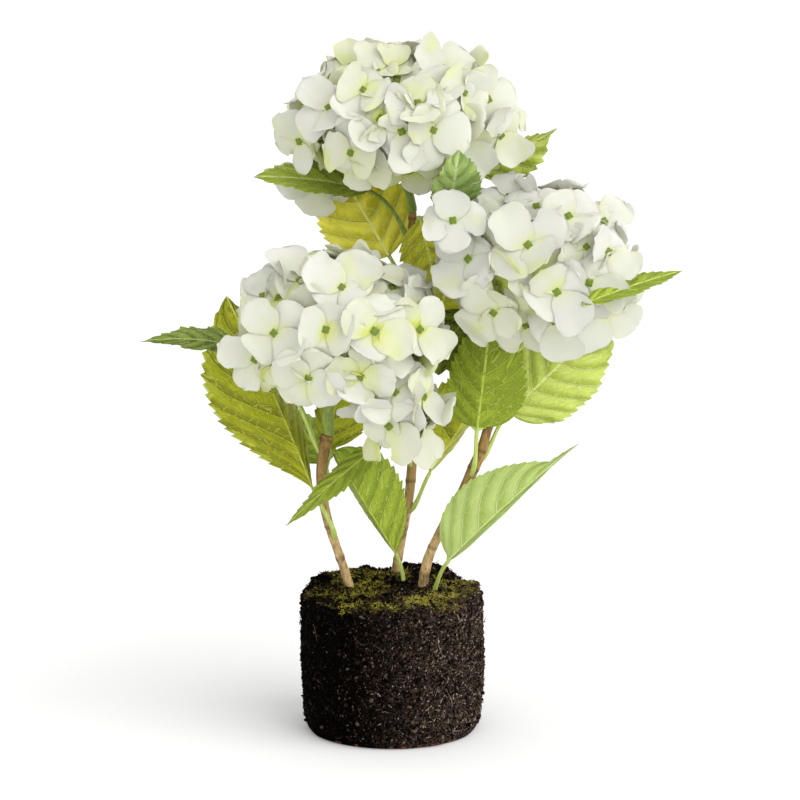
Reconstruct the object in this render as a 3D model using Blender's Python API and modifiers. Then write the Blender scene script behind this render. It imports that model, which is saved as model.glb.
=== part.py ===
"""Artificial hydrangea on a moulded root ball: three canes, three mophead blooms and twenty leaves.

Metres, +Z up. The origin is the centre of the root ball's flat underside, and the plant's front faces -Y.
Lengths below are named in millimetres and turned into metres by mm().
"""

import math
import random
from dataclasses import dataclass

import bmesh
import bpy
import numpy as np
from mathutils import Matrix, Vector, noise
from mathutils.bvhtree import BVHTree

MM = 0.001
GAP = 0.3  # clearance between two pieces that touch

# ---------------------------------------------------------------- root ball
BALL_RADIUS = 58.2
BALL_HEIGHT = 91.0
BALL_FOOT_RADIUS = 53.0  # the flat ring it stands on
BALL_EDGE = 5.5  # rounding at the top and bottom rims
BALL_SEGMENTS = 36
BALL_SIDE_LUMPS = 1.3
BALL_TOP_LUMPS = 4.4
BALL_LUMP_SIZE = 17.0
SOCKET_DEPTH = 12.0  # how far a cane is pushed into the ball
STALK_SOCKET_DEPTH = 8.0

# ---------------------------------------------------------------- canes
CANE_STEPS = 2  # route points between two named ones
CANE_SIDES = 1  # bevel resolution, which gives six sides

# ---------------------------------------------------------------- leaves
STALK_FOOT_RADIUS = 2.0
STALK_RADIUS = 1.3
STALK_STATIONS = (0.0, 0.35, 0.7, 1.0)
STALK_RISE = 1.5  # how much a stalk sets off along its cane for each part it goes out from it
BLADE_STATIONS = (0.05, 0.15, 0.3, 0.46, 0.62, 0.77, 0.9, 1.0)
BLADE_THICKNESS = 1.3
BLADE_TIP_WIDTH = 0.5
ARCH_ACROSS = 0.10  # droop of a blade's edges, as a share of its half width

# ---------------------------------------------------------------- blooms
EYE = Vector((0.005, -2.0, 0.60))  # where someone stands to face the plant: front florets are laid out from here
FRONT_LEAN = 0.38  # how far a front floret turns from its dome's normal to face the eye
STRAY_LEAN = 0.85  # the same for one that stands outside its dome
FLORET_SPACING = 32.5
FLORET_SIZE = 25.0
FLORET_CANDIDATES = 170
FLORET_TILT = 0.13
FLORET_CUP = 4.5
FLORET_THICKNESS = 0.55  # half of it, at the middle
PETAL_NOTCH = 0.52  # radius between two petals, as a share of the floret's
PETAL_CORNER = 20.0  # degrees from a petal's middle to each of its two corners
UNDERSIDE_COSINE = -0.80  # no floret hangs closer to straight down than this
RAY_COUNT = 8
RAY_REACH = 0.55
RAY_RADIUS = 1.5
PEDICEL_RADIUS = 0.85
GOLDEN_ANGLE = math.pi * (3 - math.sqrt(5))

COLOURS = {
    "soil": ((0.020, 0.015, 0.012, 1), 0.95),
    "cane": ((0.36, 0.22, 0.11, 1), 0.65),
    "petal": ((0.84, 0.87, 0.80, 1), 0.60),
    "leaf": ((0.28, 0.38, 0.05, 1), 0.50),
}


def mm(x, y, z):
    """A point or size named in millimetres, in metres."""
    return Vector((x, y, z)) * MM


@dataclass
class Cane:
    """A woody cane: (x, y, z, radius) down its middle, from its foot to its tip, in mm."""

    name: str
    route: tuple

    def smooth(self):
        return smooth_route(np.array(self.route, float), CANE_STEPS)

    def at_height(self, height):
        """Centre and radius of the cane at a height, in mm."""
        route = self.smooth()
        return [float(np.interp(height, route[:, 2], route[:, axis])) for axis in (0, 1, 2, 3)]


@dataclass
class Leaf:
    """One leaf. Its stalk leaves a cane at a height, or stands in the root ball at a spot, and carries a blade.

    face is the way the upper side looks. A fold turns one half of the blade up (+) or back (-) about its midrib,
    and a share makes that half narrower. rise and fall shape the blade: low ones are blunt at the base or the tip.
    """

    name: str
    base: tuple
    tip: tuple
    face: tuple
    half_width: float
    cane: str = ""
    height: float = 0.0
    spot: tuple = ()
    out: tuple = ()
    left_share: float = 1.0
    right_share: float = 1.0
    fold_left: float = 0.0
    fold_right: float = 0.0
    bow: float = 6.0
    sway: float = 0.0
    twist: float = 0.0
    rise: float = 0.65
    fall: float = 0.95


@dataclass
class Bloom:
    """A mophead bloom on a green stem: domes of florets round a fork of rays.

    stem: (x, y, z, radius) from above the cane's tip up to the fork. domes: (centre, semi-axes) of each lobe, in mm.
    front: (across, up, turn, size, sunk) of each floret that faces the eye, measured square to the line of sight
    at the first dome's centre, with its turn in degrees and how far behind the dome's face it sits.
    """

    name: str
    cane: str
    stem: tuple
    domes: tuple
    front: tuple
    seed: int

    def stem_route(self):
        """The stem's route in mm, from just clear of its cane's tip, setting off in line with it."""
        cane = next(cane for cane in CANES if cane.name == self.cane).smooth()
        tip, radius = cane[-1, :3], cane[-1, 3]
        along = unit(tip - cane[-2, :3])
        foot = [[*(tip + along * reach), radius] for reach in (GAP + 0.05, 2.5)]
        return np.vstack([foot[:1], smooth_route(np.vstack([foot[1:], self.stem]), CANE_STEPS)])


CANES = (
    Cane("cane_left", (
        (-23, 3, 78, 4.3), (-27, 2, 90, 4.2), (-30, 1, 101, 4.1), (-36.5, -3, 122, 4.0), (-41, -5.5, 137, 3.7),
        (-44.5, -8, 155, 3.6), (-45, -9, 170, 3.6), (-43.5, -9, 183, 3.8), (-41.5, -9, 192, 4.2), (-41, -9, 194, 3.6),
    )),
    Cane("cane_middle", (
        (-1, 30, 80, 4.2), (2, 30, 95, 4.0), (6, 29, 116, 3.5), (9.5, 27, 136, 3.3), (12, 26, 157, 3.5),
        (13, 25, 176, 3.3), (14, 25, 200, 3.2), (13, 25, 235, 3.1), (11, 24, 275, 3.1), (12, 22, 302, 3.0),
        (13, 20.5, 325, 2.9), (13, 20, 333, 2.8),
    )),
    Cane("cane_right", (
        (15, 5, 78, 4.4), (19, 5, 89, 4.3), (23.5, 4, 111, 4.0), (34, 3, 134, 3.7), (44, 2, 152, 3.6),
        (52, 1, 170, 4.0), (57, 1, 182, 3.6), (60, 0, 193, 3.3), (66, -1, 213, 3.3), (71, -2, 228, 3.2),
        (76, -4, 243, 3.1), (80, -6, 258, 3.0),
    )),
)

LEAVES = (
    Leaf("leaf_left_broad", (-50, -15, 160), (-106, 24, 278), (0.15, -1, 0.05), 38, "cane_left", 130,
         out=(0.5, -1), fold_right=-60, right_share=0.7, sway=3, rise=1.2, fall=0.95),
    Leaf("leaf_left_behind", (-40, 12, 181), (-35, 20, 235), (0, -1, 0.1), 22, "cane_left", 164,
         out=(0.2, 1), left_share=0.5, bow=3),
    Leaf("leaf_crossing", (-7, -8, 188), (-67, -32, 140), (-0.25, -0.75, 0.6), 10, "cane_middle", 172,
         out=(-0.3, -1), twist=-35, bow=5, rise=0.7, fall=1.0),
    Leaf("leaf_foot_left", (2, 9, 112), (-38, 3, 181), (0, -1, 0.1), 27, spot=(9, 12), left_share=0.3,
         fold_left=-62, bow=2, rise=0.8, fall=0.58),
    Leaf("leaf_middle", (25, 20, 164), (64, 18, 225), (0.1, -1, 0), 28, "cane_middle", 141,
         right_share=0.6, fold_right=-62, bow=3, rise=0.6, fall=0.6),
    Leaf("leaf_front", (54, -10, 199), (63, -14, 278), (0, -1, 0.1), 27, "cane_right", 171,
         out=(0, -1), left_share=0.8, fold_left=-12, fold_right=-8, rise=0.35, fall=0.8, bow=4),
    Leaf("leaf_right_broad", (75, 9, 205), (137, 28, 263), (0.2, -1, -0.1), 32, "cane_right", 178,
         left_share=0.85, bow=3, rise=0.5, fall=0.6),
    Leaf("leaf_foot_right", (37, -14, 114), (118, -34, 194), (-0.2, -0.95, 0.25), 28, spot=(25, -3),
         right_share=0.3, fold_right=60, bow=4, sway=-3, rise=0.5, fall=1.2),
    Leaf("leaf_behind_top", (-2, 24, 304), (-43, 64, 369), (0.05, -1, -0.1), 29, "cane_middle", 290,
         fold_right=-10, bow=3),
    Leaf("leaf_top_left", (-16, 16, 347), (-87, 4, 357), (-0.1, -0.42, 0.9), 14, "cane_middle", 316,
         out=(-0.6, -1), fold_left=28, bow=9),
    Leaf("leaf_hanging", (18, 9, 329), (30, 2, 280), (0, -1, -0.2), 17, "cane_middle", 314,
         out=(0.4, -1), bow=3),
    Leaf("leaf_upright", (36, -8, 337), (40, -74, 383), (0.15, -1, -0.3), 13, "cane_middle", 329,
         out=(1, 0), fold_right=-20, bow=3, rise=0.5),
    Leaf("leaf_top_right", (56, 38, 354), (105, 31, 385), (0.1, -0.8, 0.5), 15, "cane_middle", 312,
         out=(1, 0.7), bow=3, rise=0.8, fall=0.6),
    Leaf("leaf_far_right", (118, 2, 268), (182, -6, 299), (-0.25, -0.35, 0.9), 12, "cane_right", 250,
         fold_right=20, bow=3),
    Leaf("leaf_far_left", (-92, -17, 251), (-157, -26, 257), (-0.1, -0.45, 0.9), 16, "cane_left", 187,
         out=(-1, -0.1), left_share=0.8, bow=9, fold_left=12, rise=0.7, fall=1.3),
    Leaf("leaf_shaded", (50, 18, 268), (18, 10, 230), (0.1, -1, 0.2), 17, "cane_right", 226,
         out=(-0.6, 1), bow=3),
    Leaf("leaf_inner", (30, 28, 257), (36, 27, 296), (0, -1, 0), 14, "cane_middle", 238, out=(1, 0), bow=2),
    Leaf("leaf_back_left", (-44, 27, 168), (-74, 90, 194), (-0.3, 0.4, 0.85), 25, "cane_left", 150,
         out=(0, 1), right_share=0.7, bow=8),
    Leaf("leaf_back_middle", (11, 42, 222), (3, 99, 250), (0, 0.4, 0.9), 26, "cane_middle", 204,
         out=(0, 1), bow=9),
    Leaf("leaf_back_right", (84, 26, 272), (102, 88, 302), (0.2, 0.4, 0.85), 25, "cane_right", 252,
         out=(0.3, 1), bow=8),
)

BLOOMS = (
    Bloom("bloom_left",
          cane="cane_left",
          stem=((-41, -12, 207, 3.9), (-39, -18, 222, 3.4), (-36, -30, 243, 2.8)),
          domes=(((-33, -40, 266), (67, 56, 47)), ((3, -52, 226), (27, 28, 31))),
          front=((-40, -1, 50, 25, 0), (-52, -17, 65, 24, 0), (-19, -29, 65, 27, 0), (2, 27, 55, 28, 0),
                 (-8, 1, 75, 27, 3), (22, 0, 55, 26, 0), (13, -28, 70, 25, 4), (35, -38, 45, 26, 0),
                 (31, -59, 40, 26, 0), (33, 27, 10, 24, 20), (-24, 31, 30, 25, 8), (50, 1, 40, 25, 4),
                 (-47, 22, 20, 25, 12)),
          seed=3),
    Bloom("bloom_right",
          cane="cane_right",
          stem=((85, -11, 277, 2.8), (89, -16, 291, 2.6)),
          domes=(((91, -20, 305), (59, 54, 47)),),
          front=((-43, 3, 48, 28, 0), (-6, 12, 43, 28, 0), (12, -17, 35, 29, 0), (-27, -30, 50, 27, 0),
                 (32, -11, 60, 25, 4), (19, 30, 30, 24, 0), (-1, 36, 15, 24, 6), (44, 8, 50, 25, 0),
                 (11, -35, 15, 26, 5), (-53, 27, 10, 21, -44), (-18, 42, 5, 22, 4), (42, -30, 10, 28, 0),
                 (30, 11, 40, 25, 6)),
          seed=11),
    Bloom("bloom_top",
          cane="cane_middle",
          stem=((11, 19, 344, 2.8), (8, 17, 355, 2.7), (6, 13, 372, 2.6)),
          domes=(((6, 10, 392), (71, 62, 44)),),
          front=((-5, 34, 5, 23, 0), (-15, 30, 15, 25, 3), (-24, 19, 60, 25, 0), (-3, 25, 80, 25, 2),
                 (10, 11, 5, 27, 0), (20, -6, 65, 26, 0), (0, -7, 20, 26, 3), (39, -14, 45, 27, 6),
                 (-32, -20, 70, 28, 0), (-22, -32, 50, 25, 0), (26, -31, 15, 24, 24), (39, 17, 60, 27, 0),
                 (22, 20, 30, 25, 3), (-13, 1, 55, 24, 3), (-46, 8, 35, 25, 0), (-65, -13, 10, 25, 0),
                 (62, -9, 35, 22, 0), (54, 13, 20, 23, 0), (27, 32, 50, 24, 0), (-54, -38, 80, 27, 34)),
          seed=7),
)


# ---------------------------------------------------------------- small helpers
def unit(vector):
    vector = np.asarray(vector, float)
    return vector / np.linalg.norm(vector)


def smooth_route(points, steps):
    """Catmull-Rom curve through the rows of points, with this many steps between two of them."""
    ends = np.vstack([2 * points[0] - points[1], points, 2 * points[-1] - points[-2]])
    rows = []
    for i in range(1, len(ends) - 2):
        before, start, end, after = ends[i - 1:i + 3]
        for t in np.arange(steps) / steps:
            rows.append(0.5 * (2 * start + (end - before) * t
                               + (2 * before - 5 * start + 4 * end - after) * t ** 2
                               + (3 * start - before - 3 * end + after) * t ** 3))
    rows.append(points[-1])
    return np.array(rows)


def bezier(points, t):
    """The Bezier curve of the given points at parameter t."""
    points = [np.asarray(point, float) for point in points]
    while len(points) > 1:
        points = [a + (b - a) * t for a, b in zip(points, points[1:])]
    return points[0]


def principled(name):
    """A material with one of the named colours and its roughness."""
    colour, roughness = COLOURS[name]
    made = bpy.data.materials.new(name)
    made.use_nodes = True
    shader = made.node_tree.nodes["Principled BSDF"]
    shader.inputs["Base Color"].default_value = colour
    shader.inputs["Roughness"].default_value = roughness
    shader.inputs["Metallic"].default_value = 0.0
    return made


def add_object(name, mesh, collection, material=None):
    made = bpy.data.objects.new(name, mesh)
    collection.objects.link(made)
    if material:
        mesh.materials.append(material)
    return made


def mesh_of(bm, name):
    bmesh.ops.recalc_face_normals(bm, faces=bm.faces)
    if bm.calc_volume(signed=True) < 0:
        bmesh.ops.reverse_faces(bm, faces=bm.faces)
    mesh = bpy.data.meshes.new(name)
    bm.to_mesh(mesh)
    bm.free()
    return mesh


def tube_object(name, route, collection, sides=CANE_SIDES):
    """A closed tube along (x, y, z, radius) rows in mm, as a mesh object."""
    curve = bpy.data.curves.new(name, "CURVE")
    curve.dimensions = "3D"
    curve.bevel_depth = MM
    curve.bevel_resolution = sides
    curve.use_fill_caps = True
    spline = curve.splines.new("POLY")
    spline.points.add(len(route) - 1)
    for point, (x, y, z, radius) in zip(spline.points, route):
        point.co = (*mm(x, y, z), 1)
        point.radius = radius
    guide = bpy.data.objects.new(name + "_guide", curve)
    bpy.context.scene.collection.objects.link(guide)
    graph = bpy.context.evaluated_depsgraph_get()
    mesh = bpy.data.meshes.new_from_object(guide.evaluated_get(graph))
    bpy.data.objects.remove(guide)
    bm = bmesh.new()
    bm.from_mesh(mesh)
    bmesh.ops.remove_doubles(bm, verts=bm.verts, dist=1e-6)
    bpy.data.meshes.remove(mesh)
    return add_object(name, mesh_of(bm, name), collection)


def strut(name, start, end, start_radius, end_radius, sides, collection, overrun=0.0):
    """A straight tapered rod between two points in mm, run on past both by overrun."""
    start, end = Vector(start), Vector(end)
    along = (end - start).normalized()
    start, end = start - along * overrun, end + along * overrun
    bm = bmesh.new()
    place = Matrix.Translation((start + end) / 2 * MM) @ along.to_track_quat("Z", "Y").to_matrix().to_4x4()
    bmesh.ops.create_cone(bm, cap_ends=True, segments=sides, radius1=start_radius * MM,
                          radius2=end_radius * MM, depth=(end - start).length * MM, matrix=place)
    return add_object(name, mesh_of(bm, name), collection)


def tree_of(objects):
    """One BVH tree of the given mesh objects, in metres."""
    points, faces = [], []
    for item in objects:
        start = len(points)
        points += [item.matrix_world @ vertex.co for vertex in item.data.vertices]
        faces += [[start + corner for corner in face.vertices] for face in item.data.polygons]
    return BVHTree.FromPolygons(points, faces)


# ---------------------------------------------------------------- root ball
def ball_profile():
    """The drum's outline in (radius, height), from the middle of its top down to the middle of its foot."""
    edge = BALL_EDGE
    top = [(radius, BALL_HEIGHT) for radius in (0.0, 16.0, 31.0, 44.0)]
    rim = [(BALL_RADIUS - edge + edge * math.sin(a), BALL_HEIGHT - edge + edge * math.cos(a))
           for a in (math.radians(20), math.radians(60), math.radians(90))]
    side = [(BALL_RADIUS + bulge, height) for bulge, height in ((0.4, 66), (0.6, 48), (0.2, 30), (-0.4, 15))]
    foot = [(BALL_RADIUS - 2.6, edge * 0.6), (BALL_FOOT_RADIUS + 1.6, 0.9), (BALL_FOOT_RADIUS, 0.0),
            (0.0, 0.0)]
    return top + rim + side + foot


def lump(x, y, z, size):
    """A smooth value between -1 and 1 that changes over about the given size."""
    return noise.noise(Vector((x, y, z)) / size)


def build_root_ball(collection):
    """A moulded drum of soil, turned and then pushed in and out a little, with a flat underside."""
    profile = bpy.data.meshes.new("root_ball_profile")
    points = [mm(radius, 0, height) for radius, height in ball_profile()]
    profile.from_pydata(points, [(i, i + 1) for i in range(len(points) - 1)], [])
    turned = add_object("root_ball_turned", profile, collection)
    screw = turned.modifiers.new("Turn", "SCREW")
    screw.steps = screw.render_steps = BALL_SEGMENTS
    screw.use_merge_vertices = True
    screw.merge_threshold = 0.0001
    graph = bpy.context.evaluated_depsgraph_get()
    mesh = bpy.data.meshes.new_from_object(turned.evaluated_get(graph))
    bpy.data.objects.remove(turned)
    bm = bmesh.new()
    bm.from_mesh(mesh)
    bpy.data.meshes.remove(mesh)
    bmesh.ops.remove_doubles(bm, verts=bm.verts, dist=1e-6)
    for vertex in bm.verts:
        x, y, z = vertex.co / MM
        if z < 1.0:
            continue
        radius = max(math.hypot(x, y), 1e-6)
        swell = lump(x, y, z, BALL_LUMP_SIZE) * BALL_SIDE_LUMPS
        x, y = x * (1 + swell / radius * (radius / BALL_RADIUS)), y * (1 + swell / radius * (radius / BALL_RADIUS))
        if z > BALL_HEIGHT - BALL_EDGE:
            back_rise = 1.0 + 0.5 * y / BALL_RADIUS
            z += lump(x + 40, y, 0, BALL_LUMP_SIZE * 0.8) * BALL_TOP_LUMPS * back_rise
        vertex.co = mm(x, y, z)
    return add_object("root_ball", mesh_of(bm, "root_ball"), collection)


def cut_sockets(ball, routes, cutters):
    """Bores the ball for the canes and stalks that stand in it, a gap wider than each."""
    for name, (foot, toward, radius) in routes.items():
        foot, toward = Vector(foot), Vector(toward)
        along = (toward - foot).normalized()
        cutter = strut(f"socket_{name}", foot - along * GAP, foot + along * 40, radius + 2 * GAP,
                       radius + 2 * GAP, 12, cutters)
        cutter.hide_render = True
        cutter.display_type = "WIRE"
    cut = ball.modifiers.new("Sockets", "BOOLEAN")
    cut.operation = "DIFFERENCE"
    cut.operand_type = "COLLECTION"
    cut.collection = cutters
    cut.solver = "EXACT"


# ---------------------------------------------------------------- leaves
def blade_half_width(leaf, s):
    """Half width of the blade a share s along it, in mm."""
    belly = leaf.rise / (leaf.rise + leaf.fall)
    return leaf.half_width * (s / belly) ** leaf.rise * ((1 - s) / (1 - belly)) ** leaf.fall


def stalk_start(leaf):
    """Where the stalk starts, and which way it sets off: up out of the ball, or up and away from its cane."""
    if leaf.spot:
        start = np.array([*leaf.spot, BALL_HEIGHT - STALK_SOCKET_DEPTH])
        return start, unit(np.array(leaf.base) - start + (0, 0, 6))
    cane = next(cane for cane in CANES if cane.name == leaf.cane)
    x, y, z, radius = cane.at_height(leaf.height)
    axis = unit(np.subtract(cane.at_height(leaf.height + 3)[:3], cane.at_height(leaf.height - 3)[:3]))
    away = np.array([*leaf.out, 0.0]) if leaf.out else np.array(leaf.base) - (x, y, z)
    away = unit(away - axis * np.dot(away, axis))
    heading = unit(away + axis * STALK_RISE)
    clear = radius + GAP + 0.2 + STALK_FOOT_RADIUS * np.dot(heading, axis)
    return np.array([x, y, z]) + away * clear, heading


def leaf_rings(leaf):
    """Sections of the leaf from the stalk's foot to the blade's tip, each of eight points, in mm."""
    base, tip, face = (np.array(value, float) for value in (leaf.base, leaf.tip, leaf.face))
    along = unit(tip - base)
    up = unit(face - along * np.dot(face, along))
    side = np.cross(along, up)
    middle = (base + tip) / 2 + up * leaf.bow + side * leaf.sway
    start, heading = stalk_start(leaf)
    reach = np.linalg.norm(base - start)
    stalk = (start, start + heading * reach * 0.35, base - unit(middle - base) * reach * 0.35, base)
    rings = []
    for t in STALK_STATIONS:
        centre = bezier(stalk, t)
        heading = unit(bezier(stalk, min(t + 0.02, 1.0)) - bezier(stalk, max(t - 0.02, 0.0)))
        lift = unit(up - heading * np.dot(up, heading))
        across = np.cross(heading, lift)
        radius = STALK_FOOT_RADIUS + (STALK_RADIUS - STALK_FOOT_RADIUS) * min(t * 2, 1.0)
        angles = np.radians([180, 135, 90, 45, 0, -45, -90, -135])
        rings.append([centre + radius * (across * math.cos(a) + lift * math.sin(a)) for a in angles])
    for s in BLADE_STATIONS:
        centre = bezier((base, middle, tip), s)
        heading = unit(bezier((base, middle, tip), min(s + 0.02, 1.0)) - bezier((base, middle, tip), s - 0.02))
        lift = unit(up - heading * np.dot(up, heading))
        turn = math.radians(leaf.twist) * s
        across = np.cross(heading, lift)
        across, lift = (across * math.cos(turn) + lift * math.sin(turn),
                        lift * math.cos(turn) - across * math.sin(turn))
        width = max(blade_half_width(leaf, s), BLADE_TIP_WIDTH)
        thick = BLADE_THICKNESS / 2 * (0.6 if s == 1.0 else 1.0)

        def on_blade(v, raised):
            """Point a share v across the blade, -1 at its left edge, raised by half the thickness."""
            fold = math.radians(leaf.fold_left if v < 0 else leaf.fold_right)
            reach = abs(v) * width * (leaf.left_share if v < 0 else leaf.right_share)
            run, rise = reach * math.cos(fold), reach * math.sin(fold)
            sag = ARCH_ACROSS * width * v * v
            return centre + across * math.copysign(run, v) + lift * (rise - sag + raised * thick)

        rings.append([on_blade(-1, 0), on_blade(-0.5, 1), on_blade(0, 1), on_blade(0.5, 1),
                      on_blade(1, 0), on_blade(0.5, -1), on_blade(0, -1), on_blade(-0.5, -1)])
    return np.array(rings)


def build_leaf(leaf, collection, material):
    """A leaf lofted through its sections, from a round stalk to a thin folded blade."""
    rings = leaf_rings(leaf) * MM
    count, sides = rings.shape[:2]
    bm = bmesh.new()
    grid = [[bm.verts.new(point) for point in ring] for ring in rings]
    for lower, upper in zip(grid, grid[1:]):
        for i in range(sides):
            j = (i + 1) % sides
            bm.faces.new((lower[i], lower[j], upper[j]))
            bm.faces.new((lower[i], upper[j], upper[i]))
    bm.faces.new(grid[0])
    bm.faces.new(grid[-1])
    bmesh.ops.triangulate(bm, faces=bm.faces)
    return add_object(leaf.name, mesh_of(bm, leaf.name), collection, material)


# ---------------------------------------------------------------- blooms
def sight_frame(centre):
    """Across and up, square to the line from the eye to a centre, in mm."""
    ahead = unit(np.array(centre) - np.array(EYE) / MM)
    across = unit(np.cross(ahead, (0, 0, 1)))
    return across, np.cross(across, ahead)


def meet_dome(eye, ray, centre, axes):
    """Distance along a ray to a dome's near side, or to where the ray passes the dome closest, and that spot."""
    start, step = (eye - centre) / axes, ray / axes
    nearest = -np.dot(start, step) / np.dot(step, step)
    beside = start + step * nearest
    off = np.dot(beside, beside)
    if off >= 1:
        return nearest, centre + beside * axes
    reach = nearest - math.sqrt((1 - off) / np.dot(step, step))
    return reach, centre + (start + step * reach) * axes


def front_florets(bloom):
    """Hub, facing, turn and size of each front floret, dropped on to the nearest dome along the line of sight."""
    eye = np.array(EYE) / MM
    domes = [(np.array(centre, float), np.array(axes, float)) for centre, axes in bloom.domes]
    across, up = sight_frame(domes[0][0])
    for right, above, turn, size, sunk in bloom.front:
        ray = unit(domes[0][0] + across * right + up * above - eye)
        _, hub, centre, axes = min(((*meet_dome(eye, ray, centre, axes), centre, axes) for centre, axes in domes),
                                   key=lambda found: found[0])
        normal = unit((hub - centre) / axes ** 2)
        lean = FRONT_LEAN if np.linalg.norm((hub - centre) / axes) < 1.001 else STRAY_LEAN
        facing = unit((1 - lean) * normal + lean * unit(eye - hub))
        yield hub + ray * sunk, facing, turn, size


def fill_candidates(bloom):
    """Spots spread evenly over each dome by the golden angle, leaving out its underside and what another covers."""
    domes = [(np.array(centre, float), np.array(axes, float)) for centre, axes in bloom.domes]
    for number, (centre, axes) in enumerate(domes):
        count = int(FLORET_CANDIDATES * (axes.prod() / domes[0][1].prod()) ** (2 / 3))
        for i in range(count):
            height = 1 - 2 * (i + 0.5) / count
            if height < UNDERSIDE_COSINE:
                continue
            ring = math.sqrt(1 - height ** 2)
            spot = centre + axes * (ring * math.cos(i * GOLDEN_ANGLE), ring * math.sin(i * GOLDEN_ANGLE), height)
            others = [other for other in range(len(domes)) if other != number]
            if any(np.linalg.norm((spot - domes[other][0]) / domes[other][1]) < 1 for other in others):
                continue
            yield spot, unit((spot - centre) / axes ** 2)


def floret_layout(bloom):
    """Every floret of a bloom as (hub, facing, turn, size), front ones first, none closer than the spacing."""
    draw = random.Random(bloom.seed)
    florets = list(front_florets(bloom))
    for spot, normal in fill_candidates(bloom):
        if any(np.linalg.norm(spot - hub) < FLORET_SPACING for hub, _, _, _ in florets):
            continue
        tilt = np.array([draw.gauss(0, FLORET_TILT) for _ in range(3)])
        size = FLORET_SIZE * draw.uniform(0.92, 1.1)
        turn = draw.uniform(0, 90)
        florets.append((spot - normal * draw.uniform(0, 7), unit(normal + tilt), turn, size))
    return florets


def floret_frame(facing, turn):
    """Two directions square to a floret's facing: the first petal's, and the next one's."""
    across = unit(np.cross((0, 0, 1), facing)) if abs(facing[2]) < 0.99 else np.array([1.0, 0, 0])
    up = np.cross(facing, across)
    a = math.radians(turn)
    return across * math.cos(a) + up * math.sin(a), up * math.cos(a) - across * math.sin(a)


def floret_object(name, floret, collection, grow=1.0, thicken=1.0):
    """A four-petalled floret: a flat ball whose rim is drawn out to petals, two corners to each, and cupped."""
    hub, facing, turn, size = floret
    first, second = floret_frame(facing, turn)
    bm = bmesh.new()
    bmesh.ops.create_uvsphere(bm, u_segments=12, v_segments=2, radius=1.0)
    for vertex in bm.verts:
        if abs(vertex.co.z) > 0.5:
            local = np.array([0, 0, math.copysign(FLORET_THICKNESS * thicken, vertex.co.z)])
        else:
            step = round(math.degrees(math.atan2(vertex.co.y, vertex.co.x)) / 30)
            petal, corner = divmod(step, 3)
            share = PETAL_NOTCH if corner == 0 else 1.0
            angle = math.radians(petal * 90 - 45 + (0, 45 - PETAL_CORNER, 45 + PETAL_CORNER)[corner])
            radius = size * grow * share
            lift = FLORET_CUP * share ** 2 * (1.3 if petal % 2 else 0.7)
            local = np.array([radius * math.cos(angle), radius * math.sin(angle), lift])
        vertex.co = Vector((hub + first * local[0] + second * local[1] + facing * local[2]) * MM)
    return add_object(name, mesh_of(bm, name), collection)


def largest_body(mesh):
    """Keeps only the biggest connected piece of a mesh."""
    bm = bmesh.new()
    bm.from_mesh(mesh)
    left, bodies = set(bm.verts), []
    while left:
        reached, edge = set(), {left.pop()}
        while edge:
            reached |= edge
            edge = {other.other_vert(vertex) for vertex in edge for other in vertex.link_edges} - reached
        left -= reached
        bodies.append(reached)
    keep = max(bodies, key=len)
    bmesh.ops.delete(bm, geom=[vertex for vertex in bm.verts if vertex not in keep], context="VERTS")
    bm.to_mesh(mesh)
    bm.free()


def build_bloom(bloom, blocked, collection, material):
    """Stem, rays, pedicels and florets fused into one body. What would touch another piece is left out."""
    pieces = bpy.data.collections.new(bloom.name + "_pieces")
    bpy.context.scene.collection.children.link(pieces)
    in_the_way = tree_of(blocked)
    stem = tube_object(bloom.name, bloom.stem_route(), collection)
    fork = np.array(bloom.stem[-1][:3], float)

    def clear(piece):
        return not tree_of([piece]).overlap(in_the_way)

    def keep_if_clear(piece, tester):
        kept = clear(tester)
        if tester is not piece:
            bpy.data.objects.remove(tester)
        if not kept:
            bpy.data.objects.remove(piece)
        return kept

    florets = floret_layout(bloom)
    rays = []
    for i in range(RAY_COUNT):
        height = 0.95 - 1.25 * (i + 0.5) / RAY_COUNT
        ring = math.sqrt(1 - height ** 2)
        rays.append(np.array([ring * math.cos(i * GOLDEN_ANGLE), ring * math.sin(i * GOLDEN_ANGLE), height]))
    groups = [[] for _ in rays]
    for number, floret in enumerate(florets):
        toward = unit(floret[0] - fork)
        groups[int(np.argmax([np.dot(toward, ray) for ray in rays]))].append((number, floret))
    for ray_number, group in enumerate(groups):
        if not group:
            continue
        middle = sum(floret[0] for _, floret in group) / len(group)
        joint = fork + (middle - fork) * RAY_REACH
        ray = strut(f"ray_{ray_number}", fork, joint, RAY_RADIUS, RAY_RADIUS * 0.8, 4, pieces, 1.2)
        if not keep_if_clear(ray, ray):
            continue
        for number, floret in group:
            inside = floret[0] - floret[1] * 0.1
            pedicel = strut(f"pedicel_{number}", joint, inside, PEDICEL_RADIUS, PEDICEL_RADIUS * 0.8, 3, pieces)
            if not keep_if_clear(pedicel, pedicel):
                continue
            piece = floret_object(f"floret_{number}", floret, pieces)
            keep_if_clear(piece, floret_object("tester", floret, pieces, grow=1.03, thicken=2.2))
        ball = bmesh.new()
        bmesh.ops.create_icosphere(ball, subdivisions=1, radius=1.5 * MM, matrix=Matrix.Translation(joint * MM))
        add_object(f"joint_{ray_number}", mesh_of(ball, "joint"), pieces)
    union = stem.modifiers.new("Fuse", "BOOLEAN")
    union.operation = "UNION"
    union.operand_type = "COLLECTION"
    union.collection = pieces
    union.solver = "MANIFOLD"
    bpy.context.view_layer.update()
    fused = bpy.data.meshes.new_from_object(stem.evaluated_get(bpy.context.evaluated_depsgraph_get()))
    fused.name = bloom.name
    stem.modifiers.remove(union)
    stem.data = fused
    largest_body(fused)
    fused.materials.clear()
    fused.materials.append(material)
    for piece in list(pieces.objects):
        bpy.data.objects.remove(piece)
    bpy.data.collections.remove(pieces)
    return stem


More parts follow.
